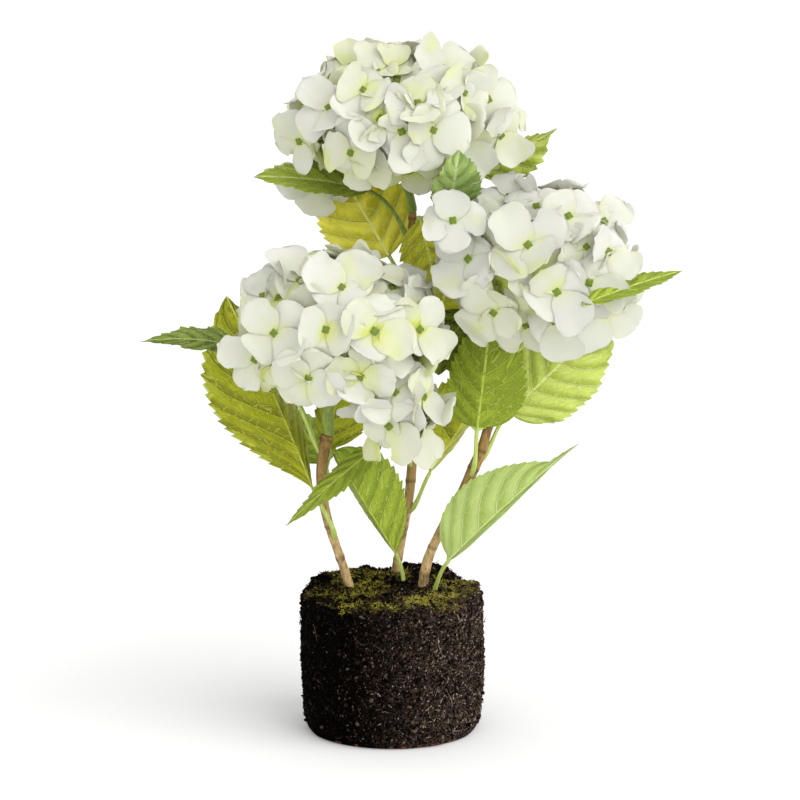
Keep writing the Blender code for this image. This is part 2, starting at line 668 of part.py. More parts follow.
# ---------------------------------------------------------------- the whole plant
def main():
    for item in list(bpy.data.objects):
        bpy.data.objects.remove(item)
    plant = bpy.data.collections.new("hydrangea")
    cutters = bpy.data.collections.new("sockets")
    for collection in (plant, cutters):
        bpy.context.scene.collection.children.link(collection)
    soil, wood, petal, green = (principled(name) for name in ("soil", "cane", "petal", "leaf"))

    ball = build_root_ball(plant)
    ball.data.materials.append(soil)
    sockets = {}
    solids = []
    for cane in CANES:
        made = tube_object(cane.name, cane.smooth(), plant)
        made.data.materials.append(wood)
        solids.append(made)
        sockets[cane.name] = (cane.route[0][:3], cane.route[1][:3], cane.route[0][3])
    for leaf in LEAVES:
        solids.append(build_leaf(leaf, plant, green))
        if leaf.spot:
            start, away = stalk_start(leaf)
            sockets[leaf.name] = (start, start + away, STALK_FOOT_RADIUS)
    cut_sockets(ball, sockets, cutters)
    for bloom in BLOOMS:
        solids.append(build_bloom(bloom, solids, plant, petal))
    for item in solids:
        item.data.shade_smooth()
        item.data.set_sharp_from_angle(angle=math.radians(40))


main()
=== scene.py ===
"""The looks of an artificial hydrangea: three canes in a moulded root ball, twenty leaves and three mopheads.

Sizes are in millimetres. The plant's frame has +Z up, its front towards -Y, and its origin under the ball.
"""

import itertools
import logging
import math
import random
from dataclasses import dataclass
from enum import Enum
from types import SimpleNamespace
from typing import Iterator, Sequence

import bpy
import numpy as np
from mathutils.bvhtree import BVHTree
from numpy.typing import ArrayLike, NDArray
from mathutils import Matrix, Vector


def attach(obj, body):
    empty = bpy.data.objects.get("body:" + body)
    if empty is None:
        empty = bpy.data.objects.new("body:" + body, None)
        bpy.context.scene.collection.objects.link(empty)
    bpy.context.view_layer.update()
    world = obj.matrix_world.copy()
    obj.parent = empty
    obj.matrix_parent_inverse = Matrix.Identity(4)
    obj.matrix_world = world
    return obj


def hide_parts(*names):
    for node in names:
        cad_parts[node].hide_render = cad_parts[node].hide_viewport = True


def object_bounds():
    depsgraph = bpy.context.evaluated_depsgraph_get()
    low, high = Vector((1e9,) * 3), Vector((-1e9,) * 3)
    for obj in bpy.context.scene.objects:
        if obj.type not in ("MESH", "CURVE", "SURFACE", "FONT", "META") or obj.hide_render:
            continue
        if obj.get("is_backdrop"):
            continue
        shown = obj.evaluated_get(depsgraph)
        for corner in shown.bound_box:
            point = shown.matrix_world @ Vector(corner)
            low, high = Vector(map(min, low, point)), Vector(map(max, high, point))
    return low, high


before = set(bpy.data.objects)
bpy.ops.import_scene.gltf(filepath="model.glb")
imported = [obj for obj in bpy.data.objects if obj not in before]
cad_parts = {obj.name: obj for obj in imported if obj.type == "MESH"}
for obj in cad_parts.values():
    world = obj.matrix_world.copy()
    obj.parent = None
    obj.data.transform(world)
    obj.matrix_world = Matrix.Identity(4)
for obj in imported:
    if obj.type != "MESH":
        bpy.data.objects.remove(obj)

Array = NDArray[np.float64]
Material = bpy.types.Material
Socket = bpy.types.NodeSocket
Draw = np.random.Generator
Colour = tuple[float, float, float]
Place = tuple[float, float, float]
Entry = tuple[float, float, float, float, float]  # across, up, turn, size and how far it is sunk
log = logging.getLogger("hydrangea")

MM = 0.001
GAP = 0.3  # clearance between two pieces that touch
EYE = np.array([5.0, -2000.0, 600.0])  # where someone stands to face the plant
GOLDEN_ANGLE = math.pi * (3 - math.sqrt(5))
ASKEW = (0.31, 0.83, 0.47)  # a slanted direction that no tube runs along
UP = np.array([0.0, 0.0, 1.0])
SCREEN_KNEE = 0.04045  # a screen colour's share below which it is linear


# ---------------------------------------------------------------- arithmetic on arrays
def unit(vectors: ArrayLike) -> Array:
    """Vectors scaled to length 1 along their last axis."""
    vectors = np.asarray(vectors, float)
    return vectors / np.maximum(np.linalg.norm(vectors, axis=-1, keepdims=True), 1e-12)


def square_to(vectors: Array, axes: Array) -> Array:
    """The part of each vector that is square to its axis, scaled to length 1."""
    return unit(vectors - axes * np.sum(vectors * axes, axis=-1, keepdims=True))


def circle(sides: int) -> Array:
    """Turns in radians, evenly round a circle."""
    return np.arange(sides) / sides * 2 * math.pi


def ease(values: ArrayLike, start: float, end: float) -> Array:
    """0 below start, 1 above end, and 3t^2 - 2t^3 between them."""
    t = np.clip((np.asarray(values, float) - start) / (end - start), 0, 1)
    return t * t * (3 - 2 * t)


def bezier(points: Sequence[ArrayLike], t: Array) -> Array:
    """The Bezier curve of the points at every t: each pair of neighbours is mixed by t until one is left.

    Args:
        points: the curve's control points.
        t: parameters from 0 to 1.

    Returns:
        One point for each t.
    """
    left = [np.asarray(point, float) + 0 * t[:, None] for point in points]
    while len(left) > 1:
        left = [a + (b - a) * t[:, None] for a, b in zip(left, left[1:])]
    return left[0]


def spline(points: ArrayLike, steps: int) -> Array:
    """Catmull-Rom curve through rows of numbers.

    Between two rows it is half of 2p + (n - b)t + (2b - 5p + 4n - a)t^2 + (3p - b - 3n + a)t^3, where b, p, n
    and a are the rows before, at, next and after.

    Args:
        points: the rows that the curve passes.
        steps: how many rows to make from each one to the next.

    Returns:
        The rows along the curve, with the last point of all at the end.
    """
    rows = np.asarray(points, float)
    rows = np.vstack([2 * rows[0] - rows[1], rows, 2 * rows[-1] - rows[-2]])
    b, p, n, a = (rows[i:len(rows) - 3 + i, None, :] for i in range(4))
    t = (np.arange(steps) / steps)[None, :, None]
    curve = 0.5 * (2 * p + (n - b) * t + (2 * b - 5 * p + 4 * n - a) * t ** 2
                   + (3 * p - b - 3 * n + a) * t ** 3)
    return np.vstack([curve.reshape(-1, rows.shape[1]), rows[-2]])


def scramble(cells: NDArray[np.int64], seed: int) -> Array:
    """A fixed pseudo-random number from 0 to 1 for each lattice cell, by multiplying and folding its bits.

    Args:
        cells: whole numbers, three to a cell.
        seed: another number gives another pattern.

    Returns:
        One number for each cell.
    """
    key = (cells @ np.array([73856093, 19349663, 83492791])) ^ (seed * 40503)
    key = (key ^ (key >> 13)) * 1274126177 & 0x7FFFFFFF
    key = (key ^ (key >> 16)) * 668265263 & 0x7FFFFFFF
    return (key ^ (key >> 15)) / 0x7FFFFFFF


def waves(points: Array, size: float, seed: int = 0) -> Array:
    """Smooth noise from -1 to 1: a random value at each corner of a lattice, blended by 3t^2 - 2t^3.

    Args:
        points: places in mm, three numbers each.
        size: the lattice's cell in mm.
        seed: another number gives another pattern.

    Returns:
        One value for each point.
    """
    scaled = points / size
    cell = np.floor(scaled).astype(np.int64)
    t = ease(scaled - cell, 0, 1)
    total = np.zeros(points.shape[:-1])
    for corner in itertools.product((0, 1), repeat=3):
        weight = np.prod(np.where(np.array(corner) == 1, t, 1 - t), axis=-1)
        total += weight * scramble(cell + np.array(corner), seed)
    return total * 2 - 1


def clods(points: Array, size: float, seed: int = 0) -> Array:
    """Rounded grains, 0 to 1: 1 less the squared distance to the nearest of one random spot in each cell.

    Args:
        points: places in mm.
        size: the lattice's cell in mm.
        seed: another number gives another pattern.

    Returns:
        One value for each point.
    """
    scaled = points / size
    cell = np.floor(scaled).astype(np.int64)
    nearest = np.full(points.shape[:-1], 9.0)
    for step in itertools.product((-1, 0, 1), repeat=3):
        beside = cell + np.array(step)
        spot = beside + np.stack([scramble(beside, seed + k) for k in range(3)], axis=-1)
        nearest = np.minimum(nearest, np.sum((scaled - spot) ** 2, axis=-1))
    return np.clip(1 - nearest, 0, 1)


# ---------------------------------------------------------------- meshes
def put(name: str, data: bpy.types.ID) -> bpy.types.Object:
    """A new object at the origin, in the scene."""
    made = bpy.data.objects.new(name, data)
    bpy.context.scene.collection.objects.link(made)
    return made


class Surface:
    """A surface in arrays: points in mm, faces by point number, a finish number for each face, and values."""

    def __init__(self, points: Array, faces: Sequence[Array], slots: Sequence[Array] | None = None,
                 **values: Array) -> None:
        """Keeps the arrays.

        Args:
            points: places in mm, one row each.
            faces: arrays of point numbers, each with faces of one number of corners.
            slots: for each array in faces, the finish number of each face. 0 without it.
            values: named numbers for each point, which the finishes read.
        """
        self.points = np.asarray(points, float).reshape(-1, 3)
        self.faces = [np.asarray(some, int).reshape(-1, some.shape[-1]) for some in faces]
        slots = slots or [np.zeros(len(some)) for some in self.faces]
        self.slots = [np.asarray(some, int).ravel() for some in slots]
        self.values = {name: np.asarray(some, float).ravel() for name, some in values.items()}

    def __add__(self, other: "Surface") -> "Surface":
        """Both surfaces as one, with their points kept apart."""
        shifted = [some + len(self.points) for some in other.faces]
        both = {name: np.concatenate([some, other.values[name]]) for name, some in self.values.items()}
        points = np.vstack([self.points, other.points])
        return Surface(points, self.faces + shifted, self.slots + other.slots, **both)

    def triangles(self) -> int:
        """How many triangles the faces come to."""
        return sum(len(some) * (some.shape[-1] - 2) for some in self.faces)

    def outward(self) -> "Surface":
        """Turns all faces over if the volume they close, the sum of corner products over 6, is negative."""
        volume = 0.0
        for some in self.faces:
            first = self.points[some[:, 0]]
            for k in range(1, some.shape[-1] - 1):
                cross = np.cross(self.points[some[:, k]] - first, self.points[some[:, k + 1]] - first)
                volume += float(np.sum(first * cross))
        if volume < 0:
            self.faces = [some[:, ::-1] for some in self.faces]
        return self

    def place(self, name: str, finishes: Sequence[Material], slot: str,
              replaced: Sequence[str], sharp: float = 55.0) -> None:
        """Makes the piece, lets it ride on the plant and hides the CAD nodes that it stands for.

        Args:
            name: the piece's name.
            finishes: the materials that the finish numbers count through.
            slot: not used.
            replaced: CAD nodes that this piece stands for.
            sharp: degrees between two faces above which their edge is crisp.
        """
        mesh = bpy.data.meshes.new(name)
        corners = np.concatenate([some.ravel() for some in self.faces])
        counts = np.concatenate([np.full(len(some), some.shape[-1]) for some in self.faces])
        mesh.vertices.add(len(self.points))
        mesh.vertices.foreach_set("co", (self.points * MM).astype(np.float32).ravel())
        mesh.loops.add(len(corners))
        mesh.loops.foreach_set("vertex_index", corners.astype(np.int32))
        mesh.polygons.add(len(counts))
        mesh.polygons.foreach_set("loop_start", (np.cumsum(counts) - counts).astype(np.int32))
        mesh.polygons.foreach_set("material_index", np.concatenate(self.slots).astype(np.int32))
        for finish in finishes:
            mesh.materials.append(finish)
        for label, numbers in self.values.items():
            mesh.attributes.new(label, "FLOAT", "POINT").data.foreach_set("value", numbers.astype(np.float32))
        mesh.update(calc_edges=True)
        mesh.shade_smooth()
        mesh.set_sharp_from_angle(angle=math.radians(sharp))
        made = put(name, mesh)
        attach(made, "root")
        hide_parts(*replaced)
        worn = [finish.name for finish in finishes]
        log.info("%s: %d triangles, finishes %s", name, self.triangles(), worn)


def loft(rings: Array, slots: Array | None = None, **values: Array) -> Surface:
    """A closed skin over rings of points, with a fan over the first ring and over the last.

    Args:
        rings: (..., stations, sides, 3) points in mm: any number of skins of the same make.
        slots: (..., stations - 1, sides) finish numbers. The fans take those of the row beside them.
        values: (..., stations, sides) numbers for each point.

    Returns:
        The surface of all the skins.
    """
    stations, sides = rings.shape[-3:-1]
    rings = rings.reshape(-1, stations, sides, 3)
    count = len(rings)
    number = np.arange(count * stations * sides).reshape(count, stations, sides)
    beside = np.roll(number, -1, axis=2)
    quads = np.stack([number[:, :-1], beside[:, :-1], beside[:, 1:], number[:, 1:]], axis=-1)
    slots = np.zeros(quads.shape[:-1]) if slots is None else np.asarray(slots).reshape(quads.shape[:-1])
    hubs = rings[:, (0, -1)].mean(axis=2)
    hub_number = len(number.ravel()) + np.arange(count * 2).reshape(count, 2, 1)
    hub_number = np.broadcast_to(hub_number, (count, 2, sides))
    first = np.stack([number[:, 0], hub_number[:, 0], beside[:, 0]], axis=-1)
    last = np.stack([beside[:, -1], hub_number[:, 1], number[:, -1]], axis=-1)
    extra = {}
    for name, some in values.items():
        ends = some.reshape(count, stations, sides)[:, (0, -1)].mean(axis=2)
        extra[name] = np.concatenate([some.ravel(), ends.ravel()])
    return Surface(np.vstack([rings.reshape(-1, 3), hubs.reshape(-1, 3)]),
                   [quads, np.concatenate([first, last])],
                   [slots, np.concatenate([slots[:, 0], slots[:, -1]])], **extra).outward()


def tubes(routes: Array, radii: Array, sides: int, slots: Array | None = None) -> Surface:
    """Round tubes: at each station a circle of the given radius, square to the route.

    Args:
        routes: (tubes, stations, 3) middle lines in mm.
        radii: (tubes, stations) radii in mm.
        sides: corners of a circle.
        slots: a finish number for each tube.

    Returns:
        The surface of all the tubes.
    """
    heading = unit(np.gradient(routes, axis=1))
    aside = unit(np.cross(heading[:, :1], unit(heading[:, :1] + ASKEW)))
    across = square_to(aside, heading)
    up = np.cross(heading, across)
    turn = circle(sides)
    rings = routes[:, :, None] + radii[:, :, None, None] * (
        across[:, :, None] * np.cos(turn)[:, None] + up[:, :, None] * np.sin(turn)[:, None])
    if slots is None:
        return loft(rings)
    return loft(rings, np.broadcast_to(slots[:, None, None], (len(routes), routes.shape[1] - 1, sides)))


# ---------------------------------------------------------------- finishes
def paint(red: float, green: float, blue: float) -> Colour:
    """A screen colour from 0 to 255 as the linear colour that a shader takes."""
    share = np.array([red, green, blue]) / 255
    linear = np.where(share <= SCREEN_KNEE, share / 12.92, ((share + 0.055) / 1.055) ** 2.4)
    return float(linear[0]), float(linear[1]), float(linear[2])


class Nodes:
    """A new material's node tree, with short calls that add a node and wire it."""

    def __init__(self, name: str, roughness: float, specular: float = 0.5) -> None:
        """Starts the material with one Principled shader."""
        self.material = bpy.data.materials.new(name)
        self.material.use_nodes = True
        self.tree = self.material.node_tree
        self.shader = self.tree.nodes["Principled BSDF"]
        self.set("Roughness", roughness)
        self.set("Specular IOR Level", specular)

    def set(self, socket: str, value: object) -> None:
        """Sets one of the shader's own sockets, or wires it where the value is another node's output."""
        self.feed(self.shader.inputs[socket], value)

    def feed(self, socket: Socket, value: object) -> None:
        """Wires a socket to an output, or gives it a plain number, vector or colour."""
        if isinstance(value, Socket):
            self.tree.links.new(value, socket)
        elif isinstance(value, tuple) and len(value) == 3 and socket.type == "RGBA":
            socket.default_value = (*value, 1.0)
        else:
            socket.default_value = value

    def add(self, kind: str, inputs: dict[str | int, object], output: str | int = 0,
            **settings: object) -> Socket:
        """Adds a node.

        Args:
            kind: its type, without the leading ShaderNode.
            inputs: what goes into its sockets, by name or number.
            output: the socket to give back.
            settings: its properties.

        Returns:
            The node's output.
        """
        node = self.tree.nodes.new("ShaderNode" + kind)
        for name, value in settings.items():
            setattr(node, name, value)
        for name, value in inputs.items():
            self.feed(node.inputs[name], value)
        return node.outputs[output]

    def done(self, colour: Colour) -> Material:
        """The finished material, which is this colour where only plain colours are drawn."""
        self.material.diffuse_color = (*colour, 1.0)
        return self.material

    def value(self, name: str) -> Socket:
        """The named number that each point of the mesh holds."""
        return self.add("Attribute", {}, "Fac", attribute_name=name)

    def math(self, operation: str, *values: object) -> Socket:
        """One step of arithmetic on one to three values."""
        return self.add("Math", dict(enumerate(values)), operation=operation)

    def plus(self, *values: object) -> object:
        """The sum of the values."""
        total = values[0]
        for value in values[1:]:
            total = self.math("ADD", total, value)
        return total

    def times(self, first: object, second: object) -> Socket:
        """The product of two values."""
        return self.math("MULTIPLY", first, second)

    def layered(self, base: object, *layers: tuple[object, object]) -> object:
        """A base colour under layers, each a share of cover and a colour."""
        for share, colour in layers:
            base = self.blend(share, base, colour)
        return base

    def fade(self, value: object, start: float, end: float, low: float = 0.0, high: float = 1.0) -> object:
        """low at start, high at end, and smooth between them."""
        return self.add("MapRange", {"Value": value, "From Min": start, "From Max": end, "To Min": low,
                                     "To Max": high}, "Result", interpolation_type="SMOOTHSTEP")

    def blend(self, share: object, first: object, second: object) -> Socket:
        """A colour that goes from the first to the second by the share."""
        return self.add("Mix", {0: share, 6: first, 7: second}, 2, data_type="RGBA")

    def noise(self, place: object, scale: float, detail: float = 3.0, rough: float = 0.55) -> object:
        """Cloudy noise from 0 to 1 at a place."""
        inputs = {"Vector": place, "Scale": scale, "Detail": detail, "Roughness": rough}
        return self.add("TexNoise", inputs, "Fac")

    def place(self, x: float = 1.0, y: float = 1.0, z: float = 1.0) -> Socket:
        """Where a spot is on the plant, in metres, stretched along each axis."""
        spot = self.add("TexCoord", {}, "Object")
        return self.add("Mapping", {"Vector": spot, "Scale": (x, y, z)})

    def bump(self, height: object, depth: float, strength: float = 1.0) -> None:
        """Raises the shading by a height from 0 to 1, times a depth in mm."""
        self.set("Normal", self.add("Bump", {"Height": height, "Distance": depth * MM, "Strength": strength},
                                    "Normal"))


@dataclass(frozen=True)
class PlainFinish:
    """One even colour, for small things that are dealt out in several colours."""

    name: str
    colour: Colour
    roughness: float = 0.6
    specular: float = 0.4
    glow: float = 0.0  # share of the light that sinks in and comes out softly
    glow_depth: float = 2.0

    def build(self) -> Material:
        """Makes the material."""
        nodes = Nodes(self.name, self.roughness, self.specular)
        nodes.set("Base Color", self.colour)
        if self.glow:
            nodes.set("Subsurface Weight", self.glow)
            nodes.set("Subsurface Radius", (1.0, 1.0, 0.9))
            nodes.set("Subsurface Scale", self.glow_depth * MM)
        return nodes.done(self.colour)


@dataclass(frozen=True)
class LeafFinish:
    """Printed polyester leaf: pale veins in a ladder, darker clouds between them, painted shade just beyond
    each side vein and beside the net's veins, and a light emboss.
    """

    name: str
    base: Colour
    cloud: Colour
    vein: Colour
    roughness: float = 0.52
    vein_share: float = 0.75
    net_share: float = 0.45
    emboss: float = 0.8
    vein_shade: float = 1.15  # how dark the painted shade is just beyond each side vein

    SIDE_VEIN = (0.012, 0.055)  # where its paint starts to fade and ends, as shares of the veins' spacing
    MIDRIB = (0.4, 1.2)  # the same for the midrib, in mm
    RUNGS = (2.6, 0.24)  # the net's cells: how many from vein to vein, and how many to a mm outwards

    def build(self) -> Material:
        """Makes the material. The mesh's vein counts side veins, and its across is mm from the midrib."""
        nodes = Nodes(self.name, self.roughness, 0.18)
        phase, across = nodes.value("vein"), nodes.value("across")
        side = nodes.fade(nodes.math("PINGPONG", phase, 0.5), *self.SIDE_VEIN, 1.0, 0.0)
        middle = nodes.fade(nodes.math("ABSOLUTE", across), *self.MIDRIB, 1.0, 0.0)
        sway = nodes.times(nodes.noise(nodes.place(), 190.0, 2.0), 0.8)
        along, outwards = self.RUNGS
        ladder = nodes.add("CombineXYZ", {"X": nodes.plus(nodes.times(phase, along), sway),
                                          "Y": nodes.plus(nodes.times(across, outwards), sway)})
        cells = nodes.add("TexVoronoi", {"Vector": ladder, "Scale": 1.0}, "Distance",
                          feature="DISTANCE_TO_EDGE")
        net = nodes.fade(cells, 0.015, 0.085, 1.0, 0.0)
        # painted shade: a darker band beside each of the net's pale veins
        sunk = nodes.fade(cells, 0.05, 0.2, 1.0, 0.0)
        clouds = nodes.noise(nodes.place(), 55.0, 4.0, 0.6)
        fleck = nodes.noise(nodes.place(), 900.0, 2.0)
        # painted shade: darkest just beyond each side vein and fading towards the next, as if each puffed
        # panel were lit from one side
        painted_vein_shade = nodes.fade(nodes.math("FRACT", phase), 0.04, 0.7, self.vein_shade, -0.35)
        tone = nodes.plus(nodes.fade(clouds, 0.36, 0.68, 0.0, 0.7), nodes.value("shade"), painted_vein_shade,
                          nodes.times(sunk, self.net_share * 0.5))
        tone = nodes.math("MINIMUM", nodes.math("MAXIMUM", tone, 0.0), 1.0)
        blade = nodes.blend(tone, self.base, self.cloud)
        drawn = nodes.math("MAXIMUM", nodes.times(side, self.vein_share), middle)
        drawn = nodes.math("MAXIMUM", drawn, nodes.times(net, self.net_share))
        nodes.set("Base Color", nodes.blend(drawn, blade, self.vein))
        nodes.set("Roughness", nodes.fade(fleck, 0.2, 0.8, self.roughness - 0.06, self.roughness + 0.1))
        nodes.bump(nodes.plus(nodes.times(fleck, 0.10), nodes.times(net, self.net_share),
                              nodes.times(side, 0.8)), self.emboss)
        return nodes.done(self.base)


@dataclass(frozen=True)
class BarkFinish:
    """Moulded bark: pale low down, olive above, with streaks, dark blotches, ringed joints, fine grain, and
    painted shade in its furrows and down its left side.
    """

    name: str
    base: Colour
    upper: Colour
    streak: Colour
    ring: Colour
    roughness: float = 0.62

    UPPER_FROM = (0.115, 0.175)  # heights in metres where the upper colour starts and is full

    def build(self) -> Material:
        """Makes the material. The mesh's ring is how dark a point is: the joints' own dark, and painted shade
        in the furrows between ridges and on the cane's left side.
        """
        nodes = Nodes(self.name, self.roughness, 0.3)
        grain = nodes.noise(nodes.place(1, 1, 0.16), 900.0, 4.0, 0.6)
        blotch = nodes.noise(nodes.place(1, 1, 0.5), 110.0, 3.0)
        height = nodes.add("SeparateXYZ", {"Vector": nodes.place()}, "Z")
        speckle = nodes.noise(nodes.place(1, 1, 0.5), 420.0, 2.0)
        nodes.set("Base Color", nodes.layered(
            self.base,
            (nodes.fade(height, *self.UPPER_FROM, 0.0, 0.9), self.upper),
            (nodes.fade(grain, 0.35, 0.7, 0.0, 0.8), self.streak),
            (nodes.fade(blotch, 0.46, 0.66, 0.0, 0.65), self.ring),
            (nodes.fade(speckle, 0.58, 0.7, 0.0, 0.6), self.ring),
            # the mesh's ring: the joints' own dark, plus painted shade in the furrows and on the left side
            (nodes.times(nodes.value("ring"), 0.8), self.ring)))
        nodes.bump(grain, 0.25, 0.9)
        return nodes.done(self.base)


@dataclass(frozen=True)
class StemFinish:
    """Green plastic stem: paler along its fibres, with a soft shine."""

    name: str
    base: Colour
    fibre: Colour
    roughness: float = 0.42

    def build(self) -> Material:
        """Makes the material."""
        nodes = Nodes(self.name, self.roughness, 0.45)
        fibres = nodes.noise(nodes.place(1, 1, 0.08), 700.0, 3.0)
        nodes.set("Base Color", nodes.blend(nodes.fade(fibres, 0.35, 0.75), self.base, self.fibre))
        nodes.bump(fibres, 0.15, 0.7)
        return nodes.done(self.base)


@dataclass(frozen=True)
class SoilFinish:
    """Peat glued over a foam drum, mossy on top, with painted light and shade: brown and grey only on its
    raised grains and towards the right, near-black in its pits and on the left.
    """

    name: str
    dark: Colour
    brown: Colour
    grain: Colour
    moss: Colour

    RELIEF = 2.6  # mm of bump

    def build(self) -> Material:
        """Makes the material. grain is how far a point stands out, and another value of the mesh goes from
        painted shade on the left side to painted light on the right.
        """
        nodes = Nodes(self.name, 0.95, 0.02)
        fine = nodes.noise(nodes.place(), 1400.0, 3.0, 0.7)
        patch = nodes.noise(nodes.place(), 120.0, 3.0)
        # painted shade in the pits: brown and pale specks only where a grain stands out
        raised = nodes.fade(nodes.value("grain"), 0.2, 0.8, 0.06, 1.0)
        # painted light: lighter towards the right side, where the light falls, in random patches
        side_light_and_patches = nodes.plus(nodes.value("damp"), nodes.times(patch, 0.5))
        # painted light on the raised grains of the lit side
        dry = nodes.times(nodes.fade(side_light_and_patches, 0.25, 1.3), raised)
        speck = nodes.times(nodes.fade(fine, 0.5, 0.74), raised)
        pits = nodes.fade(nodes.noise(nodes.place(), 620.0, 3.0), 0.42, 0.52, 0.95, 0.0)
        cover = nodes.times(nodes.value("moss"), nodes.fade(fine, 0.35, 0.6, 0.2, 0.9))
        # painted light and shade: brown and pale specks on the lit raised grains, near-black elsewhere
        nodes.set("Base Color", nodes.layered(
            self.dark, (dry, self.brown), (nodes.times(speck, dry), self.grain), (pits, self.dark),
            (cover, self.moss)))
        nodes.bump(fine, self.RELIEF)
        return nodes.done(self.brown)


class PetalTint(Enum):
    """Petal cloth from white to the lime at a petal's root, in steps too small to see beside each other."""

    WHITE = (209, 209, 200)
    CHALK = (209, 210, 196)
    IVORY = (208, 210, 189)
    SILK = (207, 210, 180)
    CREAM = (207, 211, 169)
    PALE = (206, 211, 156)
    SOFT = (204, 210, 140)
    SPRING = (200, 207, 122)
    FRESH = (192, 201, 104)
    LEMON = (180, 191, 85)
    LIME = (162, 174, 67)
    ROOT = (141, 155, 49)


class CrumbTint(Enum):
    """Grains of peat, bark and grit."""

    BLACK = (10, 7, 5)
    PEAT = (32, 24, 19)
    BROWN = (82, 67, 56)
    GREY = (146, 131, 118)
    GRIT = (168, 154, 134)


class MossTint(Enum):
    """Dyed moss, from shaded to sunlit, with some dry tips."""

    DEEP = (56, 48, 16)
    OLIVE = (102, 94, 26)
    YELLOW = (138, 132, 40)
    BRIGHT = (182, 176, 66)
    DRY = (140, 112, 68)


class Green(Enum):
    """The leaves' colours: of the blade, of its clouds and of its veins."""

    # the leaf's own yellow green, made brighter as painted light shining through it from behind
    GOLD = ((250, 242, 84), (206, 198, 44), (255, 252, 150))
    YELLOW = ((214, 214, 56), (176, 176, 36), (236, 238, 116))
    LIME = ((184, 190, 40), (134, 138, 20), (222, 226, 96))
    FRESH = ((158, 176, 46), (124, 142, 32), (188, 204, 84))
    BRIGHT = ((190, 204, 96), (156, 174, 56), (212, 222, 136))
    LIGHT = ((184, 204, 118), (160, 183, 88), (212, 226, 156))
    MID = ((166, 186, 58), (132, 152, 42), (198, 214, 98))
    DEEP = ((132, 150, 56), (88, 106, 34), (176, 192, 112))
    BLUE = ((178, 204, 116), (134, 166, 78), (210, 228, 160))
    SHADE = ((122, 134, 38), (80, 90, 22), (160, 172, 74))
    PALE = ((196, 214, 148), (166, 188, 108), (218, 230, 178))

    def finish(self, name: str, **changes: float) -> LeafFinish:
        """A leaf finish in this green."""
        return LeafFinish(name, *(paint(*colour) for colour in self.value), **changes)


# ---------------------------------------------------------------- canes
@dataclass(frozen=True)
class Cane:
    """A woody cane with moulded bark.

    route: x, y, z and radius down its middle, from foot to tip. joints: heights of its rings. slim: the wood
    inside its ridges, as a share of the radius, low down and high up.
    """

    name: str
    route: tuple[tuple[float, float, float, float], ...]
    joints: tuple[float, ...]
    sides: int = 44
    steps: int = 14
    slim: tuple[float, float] = (0.77, 0.93)
    ridge_depth: float = 0.2
    ring_depth: float = 0.45
    ring_width: float = 1.1

    WIDENS = (110, 170)  # heights between which it goes from its low share of the radius to its high one
    CAP = 0.25  # how much the last rings close in

    def smooth(self, steps: int = 2) -> Array:
        """The route as a curve, with so many steps between two named points."""
        return spline(self.route, steps)

    def at_height(self, height: float) -> Array:
        """Centre and radius of the cane at a height."""
        route = self.smooth()
        return np.array([np.interp(height, route[:, 2], route[:, axis]) for axis in range(4)])

    def build(self, bark: Material) -> None:
        """Lofts the cane: r = radius + ridges along it + a ring at each joint, about the smoothed route.

        Args:
            bark: the finish.
        """
        route = self.smooth(self.steps)
        middle = route[:, :3]
        low, high = self.slim
        radius = route[:, 3] * (low + (high - low) * ease(route[:, 2], *self.WIDENS))
        heading = unit(np.gradient(middle, axis=0))
        across = unit(np.cross(heading, (0.0, 1.0, 0.0)))
        up = np.cross(heading, across)
        turn = circle(self.sides)
        out = across[:, None] * np.cos(turn)[:, None] + up[:, None] * np.sin(turn)[:, None]
        plain = middle[:, None] + out * radius[:, None, None]
        away = np.abs(middle[:, 2:3] - np.array(self.joints)[None]).min(axis=1)
        slant = away[:, None] + 0.8 * waves(plain, 3.0, 5)
        ring = np.exp(-(slant / self.ring_width) ** 2)
        stretched = plain * (1, 1, 0.12)
        ridges = waves(stretched, 1.3, 1) + 0.5 * waves(stretched, 0.7, 2) + 0.5 * waves(plain, 6.0, 3)
        depth = self.ridge_depth * ridges + self.ring_depth * ring * (0.7 + 0.3 * np.cos(turn * 3))
        closing = 1 - self.CAP * ease(np.arange(len(route)) / len(route), 0.985, 1.0)[:, None]
        rings = middle[:, None] + out * ((radius[:, None] + depth) * closing)[:, :, None]
        # dark joints of the bark itself, plus painted shade in the furrows between ridges and on the left
        # side, away from the light
        joints_and_painted_shade = ring * 0.9 + 0.35 * np.clip(-ridges, 0, 1) + 0.4 * ease(-out[..., 0], 0.3, 1.0)
        loft(rings, ring=np.clip(joints_and_painted_shade, 0, 1)).place(self.name + "_bark", [bark], "cane", [self.name])


